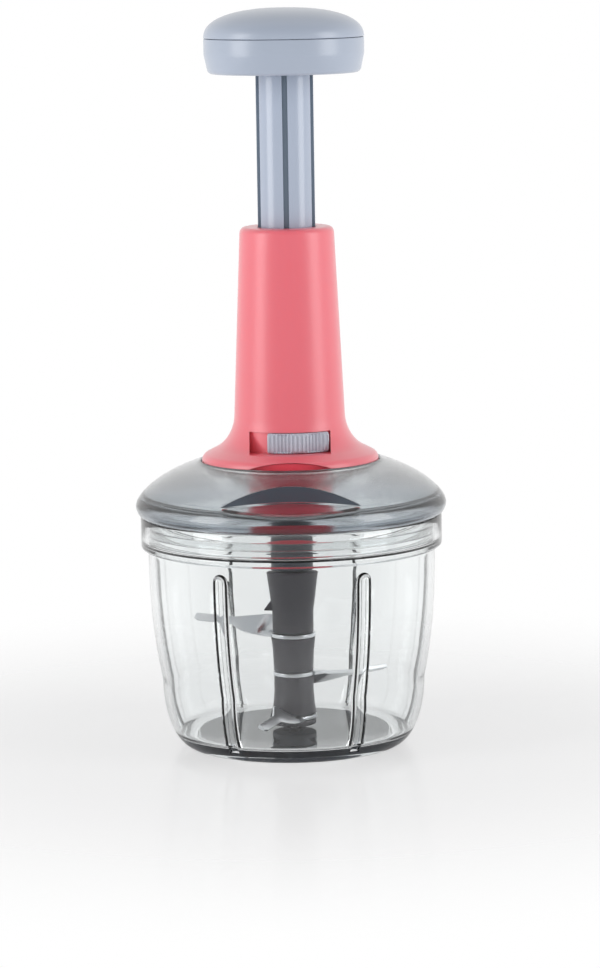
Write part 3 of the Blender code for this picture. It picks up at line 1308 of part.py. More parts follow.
def make_drive():
    """The twisted rod, the dog clutch below it and the coupling that drives the rotor's spindle."""
    journal_foot = COUPLING_TOP_Z + GAP
    rod = drum("spiral_rod", JOURNAL_RADIUS, journal_foot, ROD_FOOT_Z, "steel")
    strip = place_bmesh(
        "rod_strip", strip_bmesh(ROD_WIDTH, ROD_THICKNESS, ROD_FOOT_Z - WEB_WALL, ROD_TOP_Z), None
    )
    join(rod, strip)
    pin_z = (CLUTCH_TOP_Z + CLUTCH_UNDER_Z) / 2
    cut(rod, cross_drum("rod_pin_hole", CLUTCH_PIN_RADIUS + GAP, JOURNAL_RADIUS + OVERRUN, pin_z))
    driver = turned(
        "clutch_driver",
        [
            (CLUTCH_RADIUS, CLUTCH_TOP_Z),
            (CLUTCH_RADIUS, CLUTCH_UNDER_Z),
            (JOURNAL_RADIUS + GAP, CLUTCH_UNDER_Z),
            (JOURNAL_RADIUS + GAP, CLUTCH_TOP_Z),
        ],
        "drive_grey",
    )
    driver_dogs = dogs("driver_dogs", CLUTCH_UNDER_Z - DOG_HEIGHT, CLUTCH_UNDER_Z + CLUTCH_DISC / 2, 0)
    join(driver, driver_dogs)
    cut(driver, cross_drum("driver_pin_hole", CLUTCH_PIN_RADIUS + GAP, CLUTCH_RADIUS + OVERRUN, pin_z))
    pin = cross_drum("clutch_pin", CLUTCH_PIN_RADIUS, CLUTCH_RADIUS - GAP, pin_z, "steel")
    coupling = turned(
        "drive_coupling",
        [
            (0, COUPLING_TOP_Z),
            (COUPLING_FLANGE_RADIUS, COUPLING_TOP_Z),
            (COUPLING_FLANGE_RADIUS, COUPLING_FLANGE_Z),
            (COUPLING_RADIUS, COUPLING_FLANGE_Z),
            (COUPLING_RADIUS, COUPLING_FOOT_Z + DRIP_RING_RISE + DRIP_RING_THICKNESS),
            (DRIP_RING_RADIUS, COUPLING_FOOT_Z + DRIP_RING_RISE + DRIP_RING_THICKNESS / 2),
            (DRIP_RING_RADIUS, COUPLING_FOOT_Z + DRIP_RING_RISE),
            (COUPLING_RADIUS, COUPLING_FOOT_Z + DRIP_RING_RISE),
            (COUPLING_RADIUS, COUPLING_FOOT_Z + COUPLING_EDGE),
            (COUPLING_RADIUS - COUPLING_EDGE, COUPLING_FOOT_Z),
            (0, COUPLING_FOOT_Z),
        ],
        "drive_grey",
    )
    join(coupling, dogs("coupling_dogs", COUPLING_FLANGE_Z + COUPLING_FLANGE / 2, COUPLING_TOP_Z + DOG_HEIGHT, 180 / DOG_COUNT))
    socket = hexagon(
        "coupling_socket", SPINDLE_FLATS + 2 * RUN_GAP, COUPLING_FOOT_Z - OVERRUN, SPINDLE_TOP_Z + RUN_GAP
    )
    cut(coupling, socket)
    washer = turned(
        "thrust_washer",
        [
            (COUPLING_FLANGE_RADIUS, WASHER_Z + THRUST_WASHER),
            (COUPLING_FLANGE_RADIUS, WASHER_Z),
            (COUPLING_RADIUS + RUN_GAP, WASHER_Z),
            (COUPLING_RADIUS + RUN_GAP, WASHER_Z + THRUST_WASHER),
        ],
        "white_nylon",
    )
    return [rod, driver, pin, coupling], [washer]


def dogs(name, low, high, turn_deg):
    """The clutch's square dogs, evenly spaced."""
    directions = [turn_deg + 360 * i / DOG_COUNT for i in range(DOG_COUNT)]
    return sectors(name, DOG_INNER_RADIUS, CLUTCH_RADIUS - GAP, low, high, directions, DOG_HALF_DEG, steps=5)


def cross_drum(name, radius, half_length, height, finish=None):
    """A drum that lies across the axis at a height."""
    bm = bmesh.new()
    bmesh.ops.create_cone(
        bm, cap_ends=True, segments=12, radius1=radius, radius2=radius, depth=2 * half_length
    )
    bm.transform(Matrix.Translation((0, 0, height)) @ Matrix.Rotation(math.pi / 2, 4, "Y"))
    return place_bmesh(name, bm, finish)


def carry(name, height, pieces, parent=None):
    """Parents pieces to an empty on the axis, which stands for the body that they move with."""
    empty = bpy.data.objects.new(name, None)
    bpy.data.collections[PARTS].objects.link(empty)
    empty.location.z = height
    bpy.context.view_layer.update()
    for piece in pieces:
        piece.parent = empty
        piece.matrix_parent_inverse = empty.matrix_world.inverted()
    if parent:
        empty.parent = parent
        empty.matrix_parent_inverse = parent.matrix_world.inverted()
    return empty


def main():
    clear_scene()
    bowl_unit = make_bowl()
    rotor = make_hub() + make_blades()
    drive, washers = make_drive()
    lid_unit = make_lid() + [make_housing()] + make_handle_base() + make_clamp_screws()
    lid_unit += [make_guide()] + make_spring() + washers
    plunger = make_tube() + make_knob() + [make_nut()]
    bowl_empty = carry("bowl_unit", 0, bowl_unit)
    carry("rotor_axis", HUB_FOOT_Z, rotor, bowl_empty)
    lid_empty = carry("lid_axis", LID_EDGE_Z, lid_unit, bowl_empty)
    carry("plunger_axis", TUBE_FOOT_Z, plunger, lid_empty)
    carry("drive_axis", COUPLING_FOOT_Z, drive, lid_empty)
    carry("lock_axis", LOCK_RING_Z, [make_lock()], lid_empty)
    bpy.context.view_layer.update()


if __name__ == "__main__":
    main()
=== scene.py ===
"""Looks of a plunger food chopper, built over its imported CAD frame.

Lengths here are millimetres and turn into Blender's metres where a mesh is made. The origin is the centre
of the bowl's foot, +Z is up along the plunger's axis and the front faces -Y, as in the frame.
"""

import logging
import math
from collections.abc import Callable, Sequence
from dataclasses import dataclass, field
from enum import Enum

import bmesh
import bpy
from mathutils import Matrix, Vector


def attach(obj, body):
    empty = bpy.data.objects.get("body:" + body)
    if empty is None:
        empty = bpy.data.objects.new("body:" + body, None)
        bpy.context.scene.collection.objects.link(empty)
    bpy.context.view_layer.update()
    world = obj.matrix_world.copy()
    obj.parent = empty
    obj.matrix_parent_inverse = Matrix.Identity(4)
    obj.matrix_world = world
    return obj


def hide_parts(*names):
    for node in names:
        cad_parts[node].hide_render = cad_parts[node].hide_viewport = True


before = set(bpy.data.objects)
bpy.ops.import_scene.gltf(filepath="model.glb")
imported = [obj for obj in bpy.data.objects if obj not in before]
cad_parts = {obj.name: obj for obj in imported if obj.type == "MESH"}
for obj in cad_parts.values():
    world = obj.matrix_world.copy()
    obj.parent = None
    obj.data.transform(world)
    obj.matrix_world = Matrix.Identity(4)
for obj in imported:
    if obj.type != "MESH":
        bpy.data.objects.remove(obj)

LOG = logging.getLogger("chopper")
MM = 0.001
FRONT = 270.0
GAP = 0.3

Point = tuple[float, float]
Corner = tuple[float, float, float]
Profile = Sequence[Point]


class Grain(Enum):
    """How a surface was made, which sets its texture."""

    POLISHED = "polished mould"
    MOULDED = "fine moulded texture"
    BRUSHED = "brushed or ground"
    TURNED = "turned or drawn"


def linear(hex_colour: str) -> tuple[float, float, float, float]:
    """Turns an sRGB hex colour into linear red, green, blue and alpha.

    Args:
        hex_colour: Six hex digits.

    Returns:
        The linear colour that Blender's sockets take.
    """
    channels = [int(hex_colour[i : i + 2], 16) / 255 for i in (0, 2, 4)]
    lit = [c / 12.92 if c <= 0.04045 else ((c + 0.055) / 1.055) ** 2.4 for c in channels]
    return lit[0], lit[1], lit[2], 1.0


def add_node(
    tree: bpy.types.NodeTree,
    kind: str,
    settings: dict[str, object] | None = None,
    values: dict[str | int, object] | None = None,
    links: dict[str | int, bpy.types.NodeSocket] | None = None,
) -> bpy.types.Node:
    """Adds a node with its settings, socket values and incoming links.

    Args:
        tree: The material's or world's node tree.
        kind: Blender's name for the node's type.
        settings: Properties of the node itself.
        values: Constants for its input sockets.
        links: Output sockets that feed its input sockets.

    Returns:
        The new node.
    """
    node = tree.nodes.new(kind)
    for name, value in (settings or {}).items():
        setattr(node, name, value)
    for key, value in (values or {}).items():
        node.inputs[key].default_value = value
    for key, socket in (links or {}).items():
        tree.links.new(socket, node.inputs[key])
    return node


@dataclass(frozen=True)
class Finish:
    """A real material and how its surface was made."""

    name: str
    colour: str
    tone: str
    roughness: float
    roughness_spread: float
    grain: Grain
    grain_mm: float
    bump_mm: float
    metallic: float = 0.0
    ior: float = 1.5
    transmission: float = 0.0
    subsurface: float = 0.0
    glow_mm: float = 1.0
    coat: float = 0.0
    coat_roughness: float = 0.12
    absorbs: str = "FFFFFF"
    density: float = 0.0
    # Heights with painted shade colours and roughness factors, graded up the moulding
    shade_and_gloss_bands: tuple[tuple[float, str, float], ...] = ()

    def build(self) -> bpy.types.Material:
        """Makes the node material.

        Returns:
            The material, with its colour and roughness varied by the grain.
        """
        material = bpy.data.materials.new(self.name)
        material.use_nodes = True
        tree = material.node_tree
        shader = tree.nodes["Principled BSDF"]
        shader.inputs["Metallic"].default_value = self.metallic
        shader.inputs["IOR"].default_value = self.ior
        shader.inputs["Transmission Weight"].default_value = self.transmission
        shader.inputs["Coat Weight"].default_value = self.coat
        shader.inputs["Coat Roughness"].default_value = self.coat_roughness
        shader.inputs["Subsurface Weight"].default_value = self.subsurface
        shader.inputs["Subsurface Radius"].default_value = (1.0, 0.35, 0.3)
        shader.inputs["Subsurface Scale"].default_value = self.glow_mm * MM
        place = add_node(tree, "ShaderNodeTexCoord").outputs["Object"]
        pattern = self.pattern(tree, place)
        cloud = add_node(
            tree, "ShaderNodeTexNoise", values={"Scale": 1 / (18 * MM), "Detail": 2.0}, links={"Vector": place}
        )
        colour = add_node(
            tree,
            "ShaderNodeMix",
            {"data_type": "RGBA"},
            {6: linear(self.colour), 7: linear(self.tone)},
            {0: cloud.outputs["Fac"]},
        )
        tree.links.new(colour.outputs[2], shader.inputs["Base Color"])
        roughness = add_node(
            tree,
            "ShaderNodeMapRange",
            values={"To Min": self.roughness, "To Max": self.roughness + self.roughness_spread},
            links={"Value": pattern},
        )
        tree.links.new(roughness.outputs["Result"], shader.inputs["Roughness"])
        # Painted shade: the colour is darkened by height up the moulding
        if self.shade_and_gloss_bands:
            self.paint_shade_by_height(tree, place, shader)
        bump = add_node(
            tree,
            "ShaderNodeBump",
            values={"Strength": 1.0, "Distance": self.bump_mm * MM},
            links={"Height": pattern},
        )
        tree.links.new(bump.outputs["Normal"], shader.inputs["Normal"])
        if self.density:
            volume = add_node(
                tree, "ShaderNodeVolumeAbsorption", values={"Color": linear(self.absorbs), "Density": self.density}
            )
            tree.links.new(volume.outputs["Volume"], tree.nodes["Material Output"].inputs["Volume"])
        return material

    def paint_shade_by_height(self, tree: bpy.types.NodeTree, place: bpy.types.NodeSocket, shader: bpy.types.Node) -> None:
        """Paints shade up the moulding by darkening the colour by height, and changes the roughness with it.

        Args:
            tree: The material's node tree.
            place: Object coordinates in metres.
            shader: The material's shader, with its colour and roughness linked.
        """
        low, high = self.shade_and_gloss_bands[0][0], self.shade_and_gloss_bands[-1][0]
        height = add_node(tree, "ShaderNodeSeparateXYZ", links={"Vector": place}).outputs["Z"]
        share = add_node(
            tree, "ShaderNodeMapRange", values={"From Min": low * MM, "From Max": high * MM}, links={"Value": height}
        )
        ramp = add_node(tree, "ShaderNodeValToRGB", links={0: share.outputs["Result"]})
        stops = ramp.color_ramp.elements
        for index, (band, shade_colour, gloss) in enumerate(self.shade_and_gloss_bands):
            stop = stops[index] if index < 2 else stops.new((band - low) / (high - low))
            stop.position = (band - low) / (high - low)
            stop.color = (*linear(shade_colour)[:3], gloss)
        plain = shader.inputs["Base Color"].links[0].from_socket
        shaded = add_node(
            tree,
            "ShaderNodeMix",
            {"data_type": "RGBA", "blend_type": "MULTIPLY"},
            {0: 1.0},
            {6: plain, 7: ramp.outputs["Color"]},
        )
        tree.links.new(shaded.outputs[2], shader.inputs["Base Color"])
        rough = shader.inputs["Roughness"].links[0].from_socket
        scaled = add_node(
            tree, "ShaderNodeMath", {"operation": "MULTIPLY"}, links={0: rough, 1: ramp.outputs["Alpha"]}
        )
        tree.links.new(scaled.outputs["Value"], shader.inputs["Roughness"])

    def pattern(self, tree: bpy.types.NodeTree, place: bpy.types.NodeSocket) -> bpy.types.NodeSocket:
        """Adds the grain's pattern.

        Args:
            tree: The material's node tree.
            place: Object coordinates in metres.

        Returns:
            The pattern's height, from 0 to 1.
        """
        stretch = {
            Grain.POLISHED: (1.0, 1.0, 0.6),
            Grain.MOULDED: (1.0, 1.0, 1.0),
            Grain.BRUSHED: (1.0, 1.0, 12.0),
            Grain.TURNED: (0.25, 0.25, 6.0),
        }[self.grain]
        mapped = add_node(tree, "ShaderNodeMapping", values={"Scale": stretch}, links={"Vector": place})
        noise = add_node(
            tree,
            "ShaderNodeTexNoise",
            values={"Scale": 1 / (self.grain_mm * MM), "Detail": 3.0, "Roughness": 0.55},
            links={"Vector": mapped.outputs["Vector"]},
        )
        return noise.outputs["Fac"]


# Clear SAN, injection moulded in a polished tool: bright lines at its edges, a faint cool grey in depth
BOWL_SAN = Finish(
    "san_bowl_clear", "FDFEFE", "F9FBFB", 0.015, 0.02, Grain.POLISHED, 16.0, 0.02,
    ior=1.57, transmission=1.0, absorbs="C6CDD2", density=14.0,
)
# Smoked SAN from a polished tool: clear but grey, with painted shade graded by height: darkest round the thick rim,
# lighter up the dome, and light and glossier in its thin skirt
LID_SAN = Finish(
    "san_lid_smoked", "FFFFFF", "F9FAFB", 0.11, 0.05, Grain.POLISHED, 16.0, 0.02, ior=1.57, transmission=1.0,
    absorbs="7F868E", density=12.0,
    shade_and_gloss_bands=(
        (92.5, "FCFDFD", 0.25), (94.5, "ADB4BB", 1.0), (101.0, "CDD3D7", 1.0), (107.0, "EBEDEF", 1.0),
        (113.0, "FFFFFF", 1.0),
    ),
)
# The same SAN on the scoops' steep walls, painted dark slate as shade, and nearly closed to the eye
SCOOP_SHADE_SAN = Finish(
    "san_scoop_painted_shade", "414A56", "3B4450", 0.32, 0.06, Grain.MOULDED, 0.6, 0.01, ior=1.57, transmission=0.25, coat=0.5,
)
# Coral polypropylene, moulded with a soft sheen: light goes a little way in, so thin edges look paler
HANDLE_PP = Finish(
    "polypropylene_coral", "E96976", "E66673", 0.36, 0.05, Grain.MOULDED, 0.5, 0.004,
    subsurface=0.2, glow_mm=2.0, coat=1.0, coat_roughness=0.34,
)
# Red polypropylene of the boss below the lid: deeper and plainer than the handle
BOSS_PP = Finish(
    "polypropylene_boss_red", "EC4356", "E63F52", 0.4, 0.05, Grain.MOULDED, 0.5, 0.004, subsurface=0.3, glow_mm=2.5,
)
# Pale grey ABS, moulded: satin, with a cool cast
PLUNGER_ABS = Finish(
    "abs_pale_grey", "A6AFBF", "A1ABBB", 0.28, 0.05, Grain.MOULDED, 0.5, 0.004, coat=0.4, coat_roughness=0.25,
)
# The same ABS polished for the tube, which slides: a little lighter and glossier
TUBE_ABS = Finish("abs_tube_polished", "A9B2C3", "A5AFC0", 0.2, 0.04, Grain.POLISHED, 12.0, 0.01, coat=0.4)
# The same ABS down in the tube's keyways, painted darker and greyer as the shade in them, and rougher
KEYWAY_SHADE_ABS = Finish("abs_keyway_painted_shade", "7B8999", "768494", 0.42, 0.08, Grain.TURNED, 0.8, 0.006)
# Pale grey acetal slider: a little shinier than the knob
SLIDER_POM = Finish("acetal_slider_grey", "B9BCC8", "B2B6C2", 0.24, 0.06, Grain.MOULDED, 0.5, 0.005)
# Dark grey polypropylene hub: soft, slightly warm highlights
HUB_PP = Finish("polypropylene_hub_dark", "4A484E", "454349", 0.36, 0.08, Grain.MOULDED, 0.6, 0.008)
# Dark grey nylon coupling and clutch: cooler and a touch glossier
DRIVE_NYLON = Finish("nylon_coupling_dark", "444A52", "3F454D", 0.34, 0.08, Grain.MOULDED, 0.6, 0.006)
# Dark grey rubber disc pressed under the floor, which stops the bowl from sliding: matt
BASE_RUBBER = Finish("rubber_base_dark", "474F5A", "424A55", 0.55, 0.1, Grain.MOULDED, 0.9, 0.01)
# Stamped and ground stainless steel: bright streaks across the blade
BLADE_STEEL = Finish("stainless_blade_ground", "E6E8EA", "DDE0E3", 0.26, 0.1, Grain.BRUSHED, 1.2, 0.0006, metallic=1.0)
# Turned or drawn steel of the rod, pins and screws
ROD_STEEL = Finish("steel_turned", "C4C6C9", "B9BCC0", 0.24, 0.12, Grain.TURNED, 1.2, 0.003, metallic=1.0)
# Oil-tempered spring wire: darker steel
SPRING_STEEL = Finish("spring_steel_wire", "9FA2A6", "94979B", 0.3, 0.12, Grain.TURNED, 1.0, 0.003, metallic=1.0)
# Natural nylon of the nut, sleeve and washer: milky white
NUT_NYLON = Finish("nylon_natural", "E6E3DA", "E0DDD3", 0.4, 0.08, Grain.MOULDED, 0.6, 0.006)
# Clear silicone seal: a faint milky ring
SEAL_SILICONE = Finish(
    "silicone_seal", "F4F6F6", "F0F2F3", 0.06, 0.05, Grain.MOULDED, 0.8, 0.001, ior=1.41, transmission=1.0,
)

MATERIALS: dict[str, bpy.types.Material] = {}


def material_of(finish: Finish) -> bpy.types.Material:
    """Gives the one material of a finish, made when it is first asked for."""
    if finish.name not in MATERIALS:
        MATERIALS[finish.name] = finish.build()
    return MATERIALS[finish.name]


def rounded(corners: Sequence[Corner], closed: bool = True) -> list[Point]:
    """Rounds the corners of a profile.

    Args:
        corners: Radius, height and rounding radius of each corner.
        closed: Whether the last corner joins the first.

    Returns:
        The profile's points.
    """
    points: list[Point] = []
    for i, (radius, height, rounding) in enumerate(corners):
        at_end = not closed and i in (0, len(corners) - 1)
        here = Vector((radius, height))
        back = Vector(corners[i - 1][:2]) - here
        ahead = Vector(corners[(i + 1) % len(corners)][:2]) - here
        if rounding <= 0 or at_end or math.pi - back.angle(ahead) < 0.06:
            points.append((radius, height))
            continue
        half = back.angle(ahead) / 2
        trim = min(rounding / math.tan(half), 0.48 * back.length, 0.48 * ahead.length)
        centre = here + (back.normalized() + ahead.normalized()).normalized() * trim / math.cos(half)
        first = here + back.normalized() * trim - centre
        last = here + ahead.normalized() * trim - centre
        sweep = first.angle(last)
        steps = max(2, math.ceil(sweep / math.radians(24)))
        for k in range(steps + 1):
            near = math.sin((1 - k / steps) * sweep) / math.sin(sweep)
            far = math.sin(k / steps * sweep) / math.sin(sweep)
            point = centre + first * near + last * far
            points.append((point.x, point.y))
    return points


def even_angles(count: int) -> list[float]:
    """Gives evenly spaced directions in degrees."""
    return [360 * i / count for i in range(count)]


def angles_near(centres: Sequence[float], offsets: Sequence[float], count: int) -> list[float]:
    """Spaces directions evenly and closes them up round some of them.

    Args:
        centres: Directions with detail.
        offsets: Angles to each side of a centre, rising from 0.
        count: How many even directions fill the rest.

    Returns:
        Sorted directions in degrees.
    """
    reach = offsets[-1]
    angles = [
        angle
        for angle in even_angles(count)
        if all(abs((angle - c + 180) % 360 - 180) > reach + 0.4 for c in centres)
    ]
    for centre in centres:
        angles += [(centre + side * offset) % 360 for offset in offsets for side in (-1, 1) if offset or side > 0]
    return sorted(angles)


def new_object(name: str, mesh: bpy.types.Mesh) -> bpy.types.Object:
    """Links an object for a mesh, with smooth faces and crisp corners."""
    mesh.shade_smooth()
    mesh.set_sharp_from_angle(angle=math.radians(38))
    obj = bpy.data.objects.new(name, mesh)
    bpy.context.scene.collection.objects.link(obj)
    return obj


def mesh_from(name: str, points: Sequence[Vector], faces: Sequence[Sequence[int]]) -> bpy.types.Mesh:
    """Makes a mesh in metres, with meeting points merged and its faces turned outwards.

    Args:
        name: The mesh's name.
        points: Places in millimetres.
        faces: Indices of each face's points.

    Returns:
        The mesh.
    """
    mesh = bpy.data.meshes.new(name)
    mesh.from_pydata([point * MM for point in points], [], faces)
    bm = bmesh.new()
    bm.from_mesh(mesh)
    bmesh.ops.remove_doubles(bm, verts=bm.verts, dist=0.002 * MM)
    bmesh.ops.recalc_face_normals(bm, faces=bm.faces)
    bm.to_mesh(mesh)
    bm.free()
    return mesh


def polar(radius: float, degrees: float, height: float) -> Vector:
    """Gives the point at a radius, direction and height."""
    angle = math.radians(degrees)
    return Vector((radius * math.cos(angle), radius * math.sin(angle), height))


def swept(
    name: str, profile_at: Callable[[float], Profile], angles: Sequence[float], closed: bool = True
) -> bpy.types.Object:
    """Sweeps a profile that may change with direction once round the axis.

    Args:
        name: The object's name.
        profile_at: Gives the profile in a direction, always with as many points.
        angles: The directions in degrees.
        closed: Whether the profile is a ring that keeps clear of the axis.

    Returns:
        The object.
    """
    points: list[Vector] = []
    for angle in angles:
        points += [polar(radius, angle, height) for radius, height in profile_at(angle)]
    count = len(points) // len(angles)
    last = count if closed else count - 1
    faces = []
    for j in range(len(angles)):
        k = (j + 1) % len(angles)
        for i in range(last):
            after = (i + 1) % count
            faces.append((j * count + i, j * count + after, k * count + after, k * count + i))
    return new_object(name, mesh_from(name, points, faces))


def turned(name: str, corners: Sequence[Corner], closed: bool = True, steps: int = 128) -> bpy.types.Object:
    """Turns a rounded profile about the axis."""
    profile = rounded(corners, closed)
    return swept(name, lambda _: profile, even_angles(steps), closed)


def lofted(name: str, sections: Sequence[Sequence[Vector]]) -> bpy.types.Object:
    """Skins sections of equally many points and caps both ends."""
    count = len(sections[0])
    points = [point for section in sections for point in section]
    faces: list[Sequence[int]] = []
    for j in range(len(sections) - 1):
        for i in range(count):
            after = (i + 1) % count
            faces.append((j * count + i, j * count + after, (j + 1) * count + after, (j + 1) * count + i))
    faces.append(list(range(count))[::-1])
    faces.append([(len(sections) - 1) * count + i for i in range(count)])
    return new_object(name, mesh_from(name, points, faces))


def prism(
    name: str, radius: float, low: float, high: float, sides: int, placing: Matrix | None = None
) -> bpy.types.Object:
    """Makes an upright prism or fine cylinder, then places it."""
    ring = [polar(radius, 360 * i / sides, 0.0) for i in range(sides)]
    turn = placing or Matrix.Identity(4)
    return lofted(name, [[turn @ (point + Vector((0, 0, z))) for point in ring] for z in (low, high)])


def curved_block(
    name: str, radii: Point, heights: Point, centre: float, half: float, steps: int = 24
) -> bpy.types.Object:
    """Makes a block between two radii and two heights about a direction."""
    sections = []
    for i in range(steps + 1):
        angle = centre + half * (2 * i / steps - 1)
        corners = [(radii[0], heights[0]), (radii[1], heights[0]), (radii[1], heights[1]), (radii[0], heights[1])]
        sections.append([polar(radius, angle, height) for radius, height in corners])
    return lofted(name, sections)


def combine(target: bpy.types.Object, other: bpy.types.Object, operation: str) -> None:
    """Runs a Boolean with another object, keeps its mesh and removes the other one.

    Args:
        target: The object that is changed.
        other: The object that is added or cut away.
        operation: UNION, DIFFERENCE or INTERSECT.
    """
    modifier = target.modifiers.new(other.name, "BOOLEAN")
    modifier.operation = operation
    modifier.object = other
    modifier.solver = "EXACT"
    graph = bpy.context.evaluated_depsgraph_get()
    mesh = bpy.data.meshes.new_from_object(target.evaluated_get(graph))
    target.modifiers.clear()
    target.data = mesh
    mesh.shade_smooth()
    mesh.set_sharp_from_angle(angle=math.radians(38))
    bpy.data.objects.remove(other)


def hexagon_cut(target: bpy.types.Object, flats: float, low: float, high: float) -> None:
    """Cuts a six-sided bore on the axis through a piece."""
    combine(target, prism("hexagon_bore", flats / math.sqrt(3), low, high, 6), "DIFFERENCE")


def soft_corner(before: Vector, corner: Vector, after: Vector, radius: float, steps: int) -> list[Point]:
    """Rounds one corner with a fixed number of points.

    Args:
        before: The point ahead of the corner.
        corner: The corner.
        after: The point behind it.
        radius: How far the rounding reaches along both sides.
        steps: Number of pieces of the curve.

    Returns:
        The curve's points as radius and height.
    """
    to_before, to_after = before - corner, after - corner
    start = corner + to_before * min(0.45, radius / max(to_before.length, 0.001))
    end = corner + to_after * min(0.45, radius / max(to_after.length, 0.001))
    points = []
    for i in range(steps + 1):
        share = i / steps
        point = start * (1 - share) ** 2 + corner * 2 * share * (1 - share) + end * share**2
        points.append((point.x, point.y))
    return points


def piped(name: str, path: Sequence[Vector], radius: float, sides: int = 28) -> bpy.types.Object:
    """Sweeps a circle down a path in the plane of +X and Z, with a half-round upper end.

    Args:
        name: The object's name.
        path: Centres from the upper end down.
        radius: The circle's radius.
        sides: Points round it.

    Returns:
        The object.
    """
    top, along = path[0], (path[1] - path[0]).normalized()
    angles = [math.radians(degrees) for degrees in range(9, 90, 9)]
    centres = [(top + along * radius * (1 - math.cos(angle)), math.sin(angle)) for angle in angles]
    centres += [(point, 1.0) for point in path if (point - top).length > radius]
    sections = []
    for i, (centre, share) in enumerate(centres):
        behind, ahead = centres[max(i - 1, 0)][0], centres[min(i + 1, len(centres) - 1)][0]
        down = (ahead - behind).normalized()
        out = Vector((-down.z, 0, down.x))
        ring = [2 * math.pi * k / sides for k in range(sides)]
        sections.append([centre + (out * math.cos(a) + Vector((0, math.sin(a), 0))) * radius * share for a in ring])
    return lofted(name, sections)


def around_axis(piece: bpy.types.Object, directions: Sequence[float]) -> bpy.types.Object:
    """Repeats a piece made along +X at some directions, in one object."""
    source, merged = piece.data, bmesh.new()
    for direction in directions:
        copy = source.copy()
        copy.transform(Matrix.Rotation(math.radians(direction), 4, "Z"))
        merged.from_mesh(copy)
    merged.to_mesh(source)
    merged.free()
    return piece


def install(piece: bpy.types.Object, body: str, nodes: Sequence[str], slot: str, *finishes: Finish) -> None:
    """Dresses a piece, lets it ride on its body and takes over its CAD nodes.

    Args:
        piece: The finished object.
        body: The CAD body that it moves with.
        nodes: The CAD nodes that it stands for.
        slot: The record's material slot; not used.
        finishes: Its finishes, in the order of its faces' material indices.
    """
    for finish in finishes:
        piece.data.materials.append(material_of(finish))
    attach(piece, body)
    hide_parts(*nodes)
    LOG.info("%s: %d faces on %s", piece.name, len(piece.data.polygons), body)


